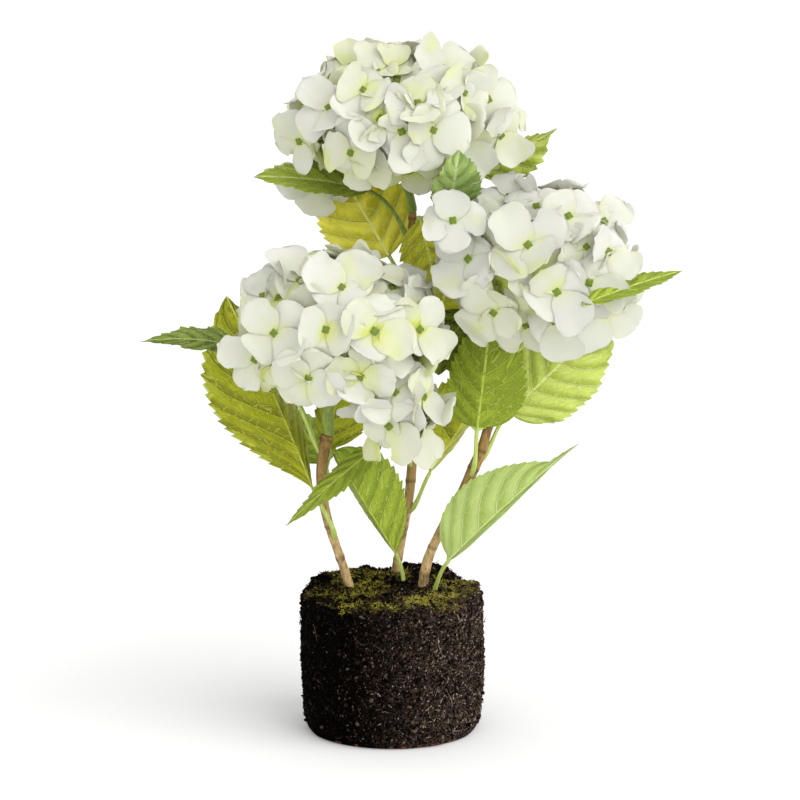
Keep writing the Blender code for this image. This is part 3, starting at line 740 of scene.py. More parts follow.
CANES = (
    Cane("cane_left", (
        (-23, 3, 78, 4.3), (-27, 2, 90, 4.2), (-30, 1, 101, 4.1), (-36.5, -3, 122, 4.0),
        (-41, -5.5, 137, 3.7), (-44.5, -8, 155, 3.6), (-45, -9, 170, 3.6), (-43.5, -9, 183, 3.8),
        (-41.5, -9, 192, 4.2), (-41, -9, 194, 3.6),
    ), (112, 134, 158, 191), slim=(0.69, 0.96)),
    Cane("cane_middle", (
        (-1, 30, 80, 4.2), (2, 30, 95, 4.0), (6, 29, 116, 3.5), (9.5, 27, 136, 3.3), (12, 26, 157, 3.5),
        (13, 25, 176, 3.3), (14, 25, 200, 3.2), (13, 25, 235, 3.1), (11, 24, 275, 3.1), (12, 22, 302, 3.0),
        (13, 20.5, 325, 2.9), (13, 20, 333, 2.8),
    ), (104, 125, 157, 188, 226, 262, 300, 329)),
    Cane("cane_right", (
        (15, 5, 78, 4.4), (19, 5, 89, 4.3), (23.5, 4, 111, 4.0), (34, 3, 134, 3.7), (44, 2, 152, 3.6),
        (52, 1, 170, 4.0), (57, 1, 182, 3.6), (60, 0, 193, 3.3), (66, -1, 213, 3.3), (71, -2, 228, 3.2),
        (76, -4, 243, 3.1), (80, -6, 258, 3.0),
    ), (100, 118, 140, 170, 182, 205, 234)),
)


def cane_named(name: str) -> Cane:
    """The cane of that name."""
    return next(cane for cane in CANES if cane.name == name)


# ---------------------------------------------------------------- leaves
@dataclass(frozen=True)
class Leaf:
    """One toothed leaf. Its stalk leaves a cane at a height, or stands in the root ball at a spot.

    face is the way the upper side looks. A fold turns one half of the blade up (+) or back (-) about its
    midrib, and a share makes that half narrower. rise and fall shape the blade: low ones are blunt at the
    base or the tip. shades darken (+) its base, tip, left and right.
    """

    name: str
    base: Place
    tip: Place
    face: Place
    half_width: float
    cane: str = ""
    height: float = 0.0
    spot: tuple[float, ...] = ()
    out: tuple[float, ...] = ()
    enters: Place = ()  # how the stalk reaches the blade, if not along it
    left_share: float = 1.0
    right_share: float = 1.0
    fold_left: float = 0.0
    fold_right: float = 0.0
    bow: float = 6.0
    sway: float = 0.0
    twist: float = 0.0
    rise: float = 0.65
    fall: float = 0.95
    green: Green = Green.FRESH
    under: Green = Green.PALE
    shades: tuple[float, float, float, float] = (0.0, 0.0, 0.0, 0.0)
    veins: float = 8.0
    tooth: float = 2.1
    tooth_pitch: float = 5.6
    relief: float = 0.95
    ripple: float = 1.0
    slant: float = 0.26  # how far a side vein runs on towards the tip, as a share of the blade
    drip: float = 0.0  # share of the blade that is drawn out in a narrow tongue
    dark_stalk: bool = False

    ARCH = 0.10  # droop of the edges, as a share of the half width
    SHEET = 0.28  # half thickness at the midrib, in mm
    GROOVE = 0.35  # depth of the midrib's furrow, in mm
    TONGUE = 4.2  # half width of a drawn-out tip, in mm
    TOOTH_ROWS = 5  # rings to a tooth
    PUFF_POWER = 0.75  # under 1: the sheet's swellings are round and the side veins between them sharp
    STALK_FOOT = 2.0
    STALK = 1.3
    STALK_RISE = 1.5
    STALK_PULL = 0.35  # how far each end's direction carries, as a share of the stalk
    STALK_RINGS = 15
    ROOTED = 6.5  # how far a stalk runs on down into its cane
    SOCKET = 8.0
    BALL_TOP = 91.0
    COLUMNS = 29

    def stalk_start(self) -> tuple[Array, Array]:
        """Where the stalk starts and which way it sets off: out of the ball, or up and away from its cane.

        Returns:
            The place in mm, and the direction.
        """
        if self.spot:
            start = np.array([*self.spot, self.BALL_TOP - self.SOCKET])
            return start, unit(np.array(self.base) - start + (0, 0, 6))
        cane = cane_named(self.cane)
        x, y, z, radius = cane.at_height(self.height)
        axis = unit(cane.at_height(self.height + 3)[:3] - cane.at_height(self.height - 3)[:3])
        away = np.array([*self.out, 0.0]) if self.out else np.array(self.base) - (x, y, z)
        away = unit(away - axis * np.dot(away, axis))
        heading = unit(away + axis * self.STALK_RISE)
        clear = radius + GAP + 0.2 + self.STALK_FOOT * np.dot(heading, axis)
        return np.array([x, y, z]) + away * clear, heading

    def half(self, s: Array) -> Array:
        """Half width a share s along the blade: w (s / b)^rise ((1 - s) / (1 - b))^fall, widest at b.

        Args:
            s: shares of the blade, from its base.

        Returns:
            The half widths in mm, no less than the tongue's.
        """
        belly = self.rise / (self.rise + self.fall)
        tongue = self.TONGUE * np.clip((1 - s) / 0.3, 0, 1) ** 0.8 * (s > 0.5) * (self.drip > 0)
        s = np.clip(s / (1 - self.drip), 0, 1)
        blade = self.half_width * (s / belly) ** self.rise * ((1 - s) / (1 - belly)) ** self.fall
        return np.maximum(tongue, blade)

    def frame(self) -> tuple[Array, Array, Array, Array, Array]:
        """Base, tip, upward direction, the blade's middle control point and the distance from base to tip."""
        base, tip = np.array(self.base, float), np.array(self.tip, float)
        along = unit(tip - base)
        up = unit(np.array(self.face, float) - along * np.dot(self.face, along))
        middle = (base + tip) / 2 + up * self.bow + np.cross(along, up) * self.sway
        return base, tip, up, middle, np.linalg.norm(tip - base)

    @staticmethod
    def sides(ahead: Array, up: Array) -> tuple[Array, Array]:
        """Two directions at each station: across the blade, and lifted off it, square to the way ahead."""
        lift = unit(up - ahead * (ahead @ up)[:, None])
        return np.cross(ahead, lift), lift

    def columns(self) -> tuple[Array, Array]:
        """Where the ring's points lie across the blade, -1 to 1 and back, and 1 above or -1 below."""
        u = np.linspace(-1, 1, self.COLUMNS)
        v = 0.5 * np.sign(u) * np.abs(u) ** 1.8 + 0.5 * np.sin(u * math.pi / 2)
        return np.concatenate([v, v[-2:0:-1]]), np.repeat([1.0, -1.0], [self.COLUMNS, self.COLUMNS - 2])

    def stalk(self) -> Array:
        """Rings of the stalk: circles that taper along a cubic curve from its foot to the blade's base.

        Returns:
            (rings, points, 3) places in mm.
        """
        base, _, up, middle, _ = self.frame()
        start, heading = self.stalk_start()
        start = start - heading * (0.0 if self.spot else self.ROOTED)
        reach = np.linalg.norm(base - start)
        enters = np.array(self.enters) if self.enters else unit(middle - base)
        pull = self.STALK_PULL
        points = (start, start + heading * reach * pull, base - enters * reach * pull, base)
        t = np.linspace(0, 1, self.STALK_RINGS + 1)[:-1]
        centre = bezier(points, t)
        across, lift = self.sides(unit(bezier(points, t + 0.01) - bezier(points, t - 0.01)), up)
        radius = self.STALK_FOOT + (self.STALK - self.STALK_FOOT) * np.minimum(t * 2, 1)
        radius = radius - 0.9 * (1 - ease(t, 0, 0.15))
        v, side = self.columns()
        ring = across[:, None] * v[:, None] + lift[:, None] * (side * np.sqrt(1 - v ** 2))[:, None]
        groove = 1 - 0.22 * np.exp(-(v / 0.3) ** 2) * (side > 0)
        return centre[:, None] + ring * (radius[:, None] * groove)[:, :, None]

    def blade(self) -> tuple[Array, dict[str, Array]]:
        """Rings of the blade, with the numbers that its finish reads.

        A point a share v across lies v w out from the midrib, turned by its half's fold, where w takes a saw
        tooth at the margin: rising to the tooth's point and dropping at once. The sheet puffs up between side
        veins by |sin(pi phase)|, where phase = veins (s - reach of v), arches by v^2 and ripples along its
        margins. A rib runs under the midrib and a groove over it, and both end as the blade tapers.

        Returns:
            (rings, points, 3) places in mm, and the finish's numbers for each point.
        """
        base, tip, up, middle, length = self.frame()
        teeth = max(int(length / self.tooth_pitch), 6)
        s = (np.arange(teeth * self.TOOTH_ROWS + 1) / (teeth * self.TOOTH_ROWS))[1:]
        s = np.concatenate([[0.002, 0.006, 0.012, 0.02], s[s > 0.028]])
        points = (base, middle, tip)
        centre = bezier(points, s)
        ahead = unit((1 - s)[:, None] * (middle - base) + s[:, None] * (tip - middle))
        across, lift = self.sides(ahead, up)
        turn = (np.radians(self.twist) * s)[:, None]
        across, lift = (across * np.cos(turn) + lift * np.sin(turn),
                        lift * np.cos(turn) - across * np.sin(turn))
        v, side = self.columns()
        s2, v2 = s[:, None], v[None]
        out, left = np.abs(v2), v2 < 0
        share = np.where(left, self.left_share, self.right_share)
        fold = np.radians(np.where(left, self.fold_left, self.fold_right))
        number = np.floor(s2 * teeth * 1.0001 + 1e-6)
        saw = np.round((s2 * teeth - number) * self.TOOTH_ROWS) / (self.TOOTH_ROWS - 1)
        each = np.stack([number + 0 * v2, np.sign(v2) + 0 * s2, 0 * number + 0 * v2], -1).astype(np.int64)
        saw = np.where(saw > 1.01, 0, np.clip(saw, 0, 1)) * (0.8 + 0.4 * scramble(each, 3))
        saw = saw * np.minimum(1, 1.6 * np.sin(math.pi * np.clip(s2, 0.02, 1)) ** 0.7) * ease(s2, 0.04, 0.16)
        rim = out ** 9 * share
        half = np.maximum(self.half(s2), 0.3)
        reach = out * np.maximum(half * share, self.STALK * (1 - ease(s2, 0.0, 0.05)))
        reach = reach + saw * self.tooth * rim * np.minimum(1, half / 6)
        phase = self.veins * (s2 - self.slant * (0.65 * out + 0.35 * v2 ** 2)) + 0.35
        puff = np.abs(np.sin(math.pi * phase)) ** self.PUFF_POWER - 0.6
        calm = ease(out, 0.02, 0.2) * (1 - 0.8 * ease(out, 0.85, 1)) * ease(s2, 0.02, 0.12)
        wave = np.sin(2 * math.pi * (s2 * 3.1 + np.where(left, 0.1, 0.45))) * out ** 2.5
        wave = wave + 0.5 * np.sin(2 * math.pi * (s2 * 7.3 + np.where(left, 0.4, 0.7))) * out ** 4
        sheet = (self.relief * puff * calm * np.minimum(1, half / 10)
                 + self.ripple * wave * np.minimum(1, half / 16))
        lens = np.sqrt(1 - v2 ** 2) * self.SHEET
        rib_under = np.sqrt(np.clip((self.STALK * (1 - s2) ** 0.8 + 0.2) ** 2 - (v2 * half) ** 2, 0, None))
        rib_over = np.sqrt(np.clip((self.STALK * np.exp(-s2 / 0.03)) ** 2 - (v2 * half) ** 2, 0, None))
        groove = (self.GROOVE * np.exp(-(v2 * half / 1.2) ** 2) * ease(s2, 0.05, 0.15)
                  * np.minimum(1, half / 8))
        over, under = np.maximum(lens, rib_over) - groove, -np.maximum(lens, rib_under)
        thick = np.where(side[None] > 0, over, under)
        rise = reach * np.sin(fold) - self.ARCH * half * v2 ** 2 + sheet
        run = reach * np.cos(fold) * np.sign(v2)
        shift = saw * rim * self.tooth * 0.5
        rings = (centre[:, None] + across[:, None] * run[..., None]
                 + lift[:, None] * (rise + thick)[..., None] + ahead[:, None] * shift[..., None])
        at_base, at_tip, at_left, at_right = self.shades
        shade = (at_base * (1 - s2) + at_tip * s2
                 + np.where(left, at_left, at_right) * np.minimum(1, out * 9))
        return rings, {"vein": phase + 0 * s2, "across": v2 * half, "shade": shade}

    def build(self, finishes: dict[Green, Material], stalks: Sequence[Material]) -> None:
        """Joins stalk and blade in one skin: one green above, another below and a third on the stalk.

        Args:
            finishes: a leaf material for each green.
            stalks: the materials of a fresh stalk and of a dark one.
        """
        stalk = self.stalk()
        blade, numbers = self.blade()
        rings = np.concatenate([stalk, blade])
        plain = {"vein": 0.5, "across": 0.0, "shade": self.shades[0]}
        values = {name: np.concatenate([np.full(stalk.shape[:2], plain[name]), some])
                  for name, some in numbers.items()}
        _, side = self.columns()
        below = (side < 0) | (np.roll(side, -1) < 0)
        slots = np.broadcast_to(below, (len(rings) - 1, len(side))).astype(int).copy()
        slots[:len(stalk)] = 2
        worn = [finishes[self.green], finishes[self.under], stalks[self.dark_stalk]]
        loft(rings, slots, **values).place(self.name + "_blade", worn, "leaf", [self.name], sharp=70.0)


LEAVES = (
    Leaf("leaf_left_broad", (-50, -15, 160), (-106, 24, 278), (0.15, -1, 0.05), 38, "cane_left", 130,
         out=(0.5, -1), fold_right=-60, right_share=0.7, sway=3, rise=1.2, green=Green.LIME, veins=7.5,
         tooth=2.9, tooth_pitch=6.4, relief=2.8, ripple=2.0, slant=0.34),
    Leaf("leaf_left_behind", (-40, 12, 181), (-35, 20, 235), (0, -1, 0.1), 22, "cane_left", 164,
         out=(0.2, 1), left_share=0.5, bow=3, green=Green.LIME, veins=5, relief=1.5,
         shades=(-0.2, -0.2, 0, 0)),
    Leaf("leaf_crossing", (-7, -8, 188), (-67, -32, 140), (-0.25, -0.75, 0.6), 10, "cane_middle", 172,
         out=(-0.3, -1), twist=-35, bow=5, rise=0.7, fall=1.0, green=Green.MID, veins=6, tooth=1.5,
         relief=0.8, shades=(0.1, 0, -0.1, -0.1)),
    Leaf("leaf_foot_left", (2, 9, 112), (-38, 3, 181), (0, -1, 0.1), 27, spot=(9, 12), left_share=0.3,
         fold_left=-62, bow=2, rise=0.8, fall=0.58, green=Green.MID, veins=6, relief=1.3, slant=0.3),
    Leaf("leaf_middle", (25, 20, 164), (64, 18, 225), (0.1, -1, 0), 28, "cane_middle", 141,
         right_share=0.6, fold_right=-62, bow=3, rise=0.6, fall=0.6, green=Green.LIME, veins=5, relief=1.3),
    Leaf("leaf_front", (54, -10, 199), (63, -14, 278), (0, -1, 0.1), 27, "cane_right", 171,
         out=(0, -1), left_share=0.8, fold_left=-12, fold_right=-8, rise=0.35, fall=0.8, bow=4, veins=6,
         relief=1.3, shades=(0.5, 0.5, 0.1, 0.1)),
    Leaf("leaf_right_broad", (75, 9, 205), (137, 28, 263), (0.2, -1, -0.1), 32, "cane_right", 178,
         left_share=0.85, bow=3, rise=0.5, fall=0.6, green=Green.BRIGHT, veins=7, relief=2.0, ripple=1.8,
         shades=(0, 0, 0.3, -0.2)),
    Leaf("leaf_foot_right", (37, -14, 114), (118, -34, 194), (-0.2, -0.95, 0.25), 28, spot=(25, -3),
         right_share=0.16, fold_right=42, bow=4, sway=-3, rise=0.5, fall=0.9, green=Green.LIGHT, veins=7,
         tooth=1.0, relief=0.7, slant=0.3, drip=0.18),
    Leaf("leaf_behind_top", (-2, 24, 304), (-43, 64, 369), (0.05, -1, -0.1), 29, "cane_middle", 290,
         fold_right=-10, bow=3, green=Green.GOLD, veins=5.5, tooth=2.4, relief=2.6, slant=0.32),
    Leaf("leaf_top_left", (-16, 16, 347), (-87, 4, 357), (-0.1, -0.72, 0.66), 15.5, "cane_middle", 316,
         out=(-0.6, -1), fold_left=28, bow=9, green=Green.BRIGHT, veins=6, tooth=1.9, relief=0.9,
         shades=(1.0, 0.3, 0.2, 0.6), dark_stalk=True),
    Leaf("leaf_hanging", (18, 9, 329), (30, 2, 280), (0, -1, -0.2), 17, "cane_middle", 314,
         out=(0.4, -1), bow=3, green=Green.YELLOW, veins=5, tooth=2.4, relief=1.6, shades=(0.1, -0.5, 0, 0)),
    Leaf("leaf_upright", (36, -8, 337), (40, -74, 383), (0.15, -1, -0.3), 13, "cane_middle", 329,
         out=(1, 0), right_share=1.35, bow=3, rise=0.5, green=Green.BLUE, veins=5, tooth=1.2, relief=1.3,
         ripple=1.8, shades=(0, 0, -0.2, 0.5)),
    Leaf("leaf_top_right", (56, 38, 354), (105, 31, 385), (0.1, -0.8, 0.5), 16, "cane_middle", 312,
         out=(1, 0.7), left_share=0.4, bow=3, rise=0.8, fall=0.8, green=Green.BRIGHT, veins=5, tooth=2.3,
         relief=1.2, drip=0.12),
    Leaf("leaf_far_right", (116, -78, 289), (180, -34, 303), (-0.1, -0.6, 0.78), 10, "cane_right", 250,
         enters=(0.1, -1, 0), fold_right=20, bow=3, green=Green.MID, veins=6, tooth=1.4,
         shades=(0, 0.3, 0, 0.4)),
    Leaf("leaf_far_left", (-92, -17, 251), (-157, -26, 257), (-0.1, -0.45, 0.9), 16, "cane_left", 187,
         out=(-1, -0.1), left_share=0.8, bow=9, fold_left=12, rise=0.7, fall=1.3, green=Green.DEEP, veins=6,
         tooth=1.6, relief=1.2),
    Leaf("leaf_shaded", (50, 18, 268), (18, 10, 230), (0.1, -1, 0.2), 17, "cane_right", 226,
         out=(-0.6, 1), bow=3, green=Green.SHADE, veins=5),
    Leaf("leaf_inner", (30, 28, 257), (36, 27, 296), (0, -1, 0), 14, "cane_middle", 238, out=(1, 0), bow=2,
         green=Green.GOLD, veins=4),
    Leaf("leaf_back_left", (-44, 27, 168), (-74, 90, 194), (-0.3, 0.4, 0.85), 25, "cane_left", 150,
         out=(0, 1), right_share=0.7, bow=8, veins=7),
    Leaf("leaf_back_middle", (11, 42, 222), (3, 99, 250), (0, 0.4, 0.9), 26, "cane_middle", 204,
         out=(0, 1), bow=9, green=Green.LIME, veins=6),
    Leaf("leaf_back_right", (84, 26, 272), (102, 88, 302), (0.2, 0.4, 0.85), 25, "cane_right", 252,
         out=(0.3, 1), bow=8, veins=7),
)


# ---------------------------------------------------------------- blooms
Floret = tuple[Array, Array, float, float]  # hub, facing, turn in degrees and size in mm


@dataclass(frozen=True)
class Bloom:
    """A mophead bloom on a green stem: domes of florets round a fork of rays.

    stem: (x, y, z, radius) from above the cane's tip up to the fork. domes: (centre, semi-axes) of each lobe.
    front: (across, up, turn, size, sunk) of each floret that faces the eye, measured square to the line of
    sight at the first dome's centre, with its turn in degrees and how far behind the dome's face it sits.
    tucked: more of them, pushed into gaps. cream: how far all its tints lean to cream.
    """

    name: str
    cane: str
    stem: tuple[tuple[float, float, float, float], ...]
    domes: tuple[tuple[Place, Place], ...]
    front: tuple[Entry, ...]
    seed: int
    cream: float = 0.0
    tucked: tuple[Entry, ...] = ()

    FRONT_LEAN = 0.38
    STRAY_LEAN = 0.85
    SPACING = 32.5
    SIZE = 25.0
    CANDIDATES = 170
    TILT = 0.13
    CUP = 4.5
    UNDERSIDE = -0.80
    NOTCH = 0.52
    CORNER = 20.0
    RAYS = 8
    RAY_REACH = 0.55
    BUTTON = 2.3
    PEDICEL = 1.05  # radius at its foot
    RAY = 1.6  # radius at the fork
    LINING_SCALE = 0.86  # the second layer's domes, as a share of the outer ones
    LINING_SPACING = 21.5
    LINING_SIZE = 22.0
    LINING_TILT = 0.2
    LINING_CLEAR = 11.0  # a second-layer floret this near to an outer one is left out
    SUN = (0.25, -0.25, 0.94)  # florets that look away from here are greener and darker: partly their own colour, partly painted shade
    GREENEST = 0.8  # no petal is greener, where 0 is white and 1 is past the last tint
    PETAL_ROWS = 12
    PETAL_COLUMNS = 11
    PETAL_SHEET = 0.16  # half thickness in mm
    PETAL_FOLD = (0.45, 0.16)  # the fold down its middle: its depth in mm, and its width as a share

    def shells(self, scale: float = 1.0) -> list[tuple[Array, Array]]:
        """Centre and semi-axes of each dome."""
        return [(np.array(centre, float), np.array(axes, float) * scale) for centre, axes in self.domes]

    def stem_route(self) -> Array:
        """The stem's route, from just clear of its cane's tip, setting off in line with it."""
        cane = cane_named(self.cane).smooth()
        tip, radius = cane[-1, :3], cane[-1, 3]
        along = unit(tip - cane[-2, :3])
        foot = [[*(tip + along * reach), radius] for reach in (GAP + 0.05, 2.5)]
        return np.vstack([foot[:1], spline(np.vstack([foot[1:], self.stem]), 8)])

    def meet(self, ray: Array, centre: Array, axes: Array) -> tuple[float, Array]:
        """Distance from the eye along a ray to a dome's near side, or to its closest pass, and that spot.

        Args:
            ray: a direction from the eye.
            centre: the dome's middle.
            axes: its semi-axes.

        Returns:
            The distance in mm, and the spot.
        """
        start, step = (EYE - centre) / axes, ray / axes
        nearest = -np.dot(start, step) / np.dot(step, step)
        beside = start + step * nearest
        off = np.dot(beside, beside)
        if off >= 1:
            return nearest, centre + beside * axes
        reach = nearest - math.sqrt((1 - off) / np.dot(step, step))
        return reach, centre + (start + step * reach) * axes

    def facing_eye(self, entries: Sequence[Entry]) -> Iterator[Floret]:
        """Each listed floret, dropped on to the nearest dome along the line of sight.

        Args:
            entries: the florets as the fields front and tucked list them.

        Returns:
            The florets, one by one.
        """
        domes = self.shells()
        ahead = unit(domes[0][0] - EYE)
        across = unit(np.cross(ahead, (0, 0, 1)))
        up = np.cross(across, ahead)
        for right, above, turn, size, sunk in entries:
            ray = unit(domes[0][0] + across * right + up * above - EYE)
            hits = [(*self.meet(ray, *dome), *dome) for dome in domes]
            _, hub, centre, axes = min(hits, key=lambda hit: hit[0])
            normal = unit((hub - centre) / axes ** 2)
            lean = self.FRONT_LEAN if np.linalg.norm((hub - centre) / axes) < 1.001 else self.STRAY_LEAN
            yield hub + ray * sunk, unit((1 - lean) * normal + lean * unit(EYE - hub)), turn, size

    def spots(self, scale: float = 1.0) -> Iterator[tuple[Array, Array]]:
        """Spots and normals spread evenly over each dome by the golden angle, leaving out its underside.

        Args:
            scale: the domes' size as a share of the outer ones.

        Returns:
            The spots with their normals, one by one.
        """
        domes = self.shells(scale)
        for number, (centre, axes) in enumerate(domes):
            count = int(self.CANDIDATES * (axes.prod() / domes[0][1].prod()) ** (2 / 3))
            for i in range(count):
                height = 1 - 2 * (i + 0.5) / count
                if height < self.UNDERSIDE:
                    continue
                ring = math.sqrt(1 - height ** 2)
                turn = i * GOLDEN_ANGLE
                spot = centre + axes * (ring * math.cos(turn), ring * math.sin(turn), height)
                others = [dome for other, dome in enumerate(domes) if other != number]
                if any(np.linalg.norm((spot - middle) / size) < 1 for middle, size in others):
                    continue
                yield spot, unit((spot - centre) / axes ** 2)

    @staticmethod
    def crowded(spot: Array, florets: list[Floret], spacing: float) -> bool:
        """Whether one of the florets is nearer than the spacing to a spot."""
        return any(np.linalg.norm(spot - floret[0]) < spacing for floret in florets)

    def layout(self) -> tuple[list[Floret], int]:
        """Every outer floret, front ones first, none closer than the spacing, and how many are front ones.

        Returns:
            The florets, and the number of front ones.
        """
        draw = random.Random(self.seed)
        florets = list(self.facing_eye(self.front))
        fronts = len(florets)
        for spot, normal in self.spots():
            if self.crowded(spot, florets, self.SPACING):
                continue
            tilt = np.array([draw.gauss(0, self.TILT) for _ in range(3)])
            size = self.SIZE * draw.uniform(0.92, 1.1)
            turn = draw.uniform(0, 90)
            florets.append((spot - normal * draw.uniform(0, 7), unit(normal + tilt), turn, size))
        return florets, fronts

    def lining(self, outer: list[Floret]) -> list[Floret]:
        """A second, deeper layer of smaller florets that shows in the gaps between the outer ones.

        Args:
            outer: the outer florets.

        Returns:
            The deeper florets.
        """
        draw = random.Random(self.seed + 100)
        florets: list[Floret] = []
        for spot, normal in self.spots(self.LINING_SCALE):
            near_outer = self.crowded(spot, outer, self.LINING_CLEAR)
            if near_outer or self.crowded(spot, florets, self.LINING_SPACING):
                continue
            tilt = np.array([draw.gauss(0, self.LINING_TILT) for _ in range(3)])
            turn = draw.uniform(0, 90)
            florets.append((spot, unit(normal + tilt), turn, self.LINING_SIZE * draw.uniform(0.9, 1.1)))
        return florets

    @staticmethod
    def axes_of(facing: Array, turn: float) -> tuple[Array, Array]:
        """Two directions square to a floret's facing: its first petal's, and the next one's."""
        across = unit(np.cross((0, 0, 1), facing)) if abs(facing[2]) < 0.99 else np.array([1.0, 0, 0])
        up = np.cross(facing, across)
        a = math.radians(turn)
        return across * math.cos(a) + up * math.sin(a), up * math.cos(a) - across * math.sin(a)

    @classmethod
    def poses(cls, florets: list[Floret]) -> tuple[Array, Array, Array, Array]:
        """Each floret's hub, its facing, and the directions of its first two petals."""
        hubs, facing = (np.array([floret[k] for floret in florets]) for k in range(2))
        pairs = [cls.axes_of(floret[1], floret[2]) for floret in florets]
        first, second = (np.array([pair[k] for pair in pairs]) for k in range(2))
        return hubs, facing, first, second

    def outline_tree(self, floret: Floret, grow: float = 1.03) -> BVHTree:
        """The floret's outline as a twelve-cornered fan above and below its hub, to test what it meets.

        Args:
            floret: where it sits.
            grow: how much larger to take it.

        Returns:
            A search tree of the fan, in metres.
        """
        hub, facing, turn, size = floret
        first, second = self.axes_of(facing, turn)
        step = np.arange(12)
        petal, corner = np.divmod(step, 3)
        share = np.where(corner == 0, self.NOTCH, 1.0)
        angle = np.radians(petal * 90 - 45 + np.array([0, 45 - self.CORNER, 45 + self.CORNER])[corner])
        radius = size * grow * share
        lift = self.CUP * share ** 2 * np.where(petal % 2 == 1, 1.3, 0.7)
        rim = (hub + first * (radius * np.cos(angle))[:, None] + second * (radius * np.sin(angle))[:, None]
               + facing * lift[:, None])
        points = np.vstack([rim, hub + facing * 1.2, hub - facing * 1.2]) * MM
        faces = [(i, (i + 1) % 12, 12) for i in range(12)] + [((i + 1) % 12, i, 13) for i in range(12)]
        return BVHTree.FromPolygons(points.tolist(), faces)

    def petal_shapes(self, florets: list[Floret], draw: Draw, owner: Array,
                     frame_of: tuple[Array, Array, Array]) -> dict[str, Array]:
        """Draws each petal's sizes, then fits neighbours: none lies over another floret's hub.

        Of two florets in reach of each other, the one nearer its bloom's outside shortens its petal and the
        other tucks its own under: its cup becomes (z - 1.2) / (x / L)^2 for a hub x along it and z above it.

        Args:
            florets: where each floret sits, those that lie on top first.
            draw: the bloom's own random numbers.
            owner: each petal's floret.
            frame_of: each petal's directions: along it, aside and up.

        Returns:
            Named sizes, one number for each petal.
        """
        radial, aside, up = frame_of
        hubs = np.array([floret[0] for floret in florets])
        size = np.array([floret[3] for floret in florets])[owner]
        count = len(owner)
        upper = np.tile([False, True], count // 2)
        sizes = {
            "length": size * draw.uniform(0.86, 1.0, count),
            "half": size * draw.uniform(0.42, 0.54, count),
            "cup": self.CUP * np.where(upper, 1.1, 0.4) + draw.normal(0, 1.8, count),
            "lift": np.where(upper, 0.7, 0.0),
            "bend": np.where(upper, 1.0, 0.0) + draw.normal(0, 1.7, count),
            "ripple": draw.uniform(0.7, 2.1, count),
            "frill": draw.uniform(0.15, 0.8, count),
            "wave": draw.uniform(0, 2 * math.pi, count),
            "curl": draw.normal(-0.8, 2.2, count),
            "lean": draw.normal(0, 0.19, count),
            "root": draw.uniform(0.44, 0.72, count),
            "end": draw.uniform(0.20, 0.36, count),
            "point": draw.uniform(-1.8, 1.4, count),
            "skew": draw.normal(0, 1.3, count),
            "wobble": draw.uniform(0.04, 0.12, count),
            "crease": draw.uniform(0.2, 0.7, count),
            "creases": draw.uniform(2.2, 4.4, count),
            "margin": draw.normal(0.1, 1.7, count),
        }
        away = hubs[None] - hubs[owner][:, None]
        x, y, z = (np.einsum("pmk,pk->pm", away, axis) for axis in (radial, aside, up))
        length, half = sizes["length"][:, None], sizes["half"][:, None]
        over = ((x > 5) & (x < length + 1.5) & (np.abs(y) < half * 0.9 + 1) & (np.abs(z) < 12)
                & (np.arange(len(hubs))[None] != owner[:, None]))
        first = np.arange(len(hubs))[None] > owner[:, None]
        reach = np.where(over & first, x - 2.5, 99.0).min(axis=1)
        sizes["length"] = np.clip(np.minimum(sizes["length"], reach), 0.62 * sizes["length"], None)
        tuck = (z - 1.2 - sizes["lift"][:, None]) / np.clip(x / length, 0.3, 1) ** 2
        tuck = np.where(over & ~first, tuck, 99.0).min(axis=1)
        sizes["cup"] = np.clip(np.minimum(sizes["cup"], tuck), -9.0, None)
        return sizes

    def petals(self, florets: list[Floret], draw: Draw, greens: Array) -> Surface:
        """Four broad petals to each floret, as thin lenses.

        A petal runs a = 0 to 1 from its root and b = -1 to 1 across. It lies a L out and b w aside, where
        w = W (a / c)^r ((1 - a) / (1 - c))^f is widest at c, uneven by a sine. It rises by its cup times a^2,
        bends across by b^2, leans to one side, waves and curls along its margin, is creased lengthways by a
        cosine of b and has a fine fold down its middle. Its tint greens towards its root, in drifts over the
        bloom, the deeper it lies in its dome and the further its floret looks away from the sun; these last
        two are partly the greener inner and lower florets and partly painted shade.

        Args:
            florets: where each floret sits, those that lie on top first.
            draw: the bloom's own random numbers.
            greens: how green each floret is, from 0 to 1.

        Returns:
            The surface of all petals, with a tint for each face.
        """
        hubs, facing, first, second = self.poses(florets)
        count = len(florets)
        owner = np.repeat(np.arange(count), 4)
        angle = np.radians(np.tile(np.arange(4), count) * 90 + draw.normal(0, 6, count * 4))
        radial = first[owner] * np.cos(angle)[:, None] + second[owner] * np.sin(angle)[:, None]
        aside = second[owner] * np.cos(angle)[:, None] - first[owner] * np.sin(angle)[:, None]
        up = facing[owner]
        shapes = self.petal_shapes(florets, draw, owner, (radial, aside, up))
        petal = SimpleNamespace(**{name: some[:, None, None] for name, some in shapes.items()})

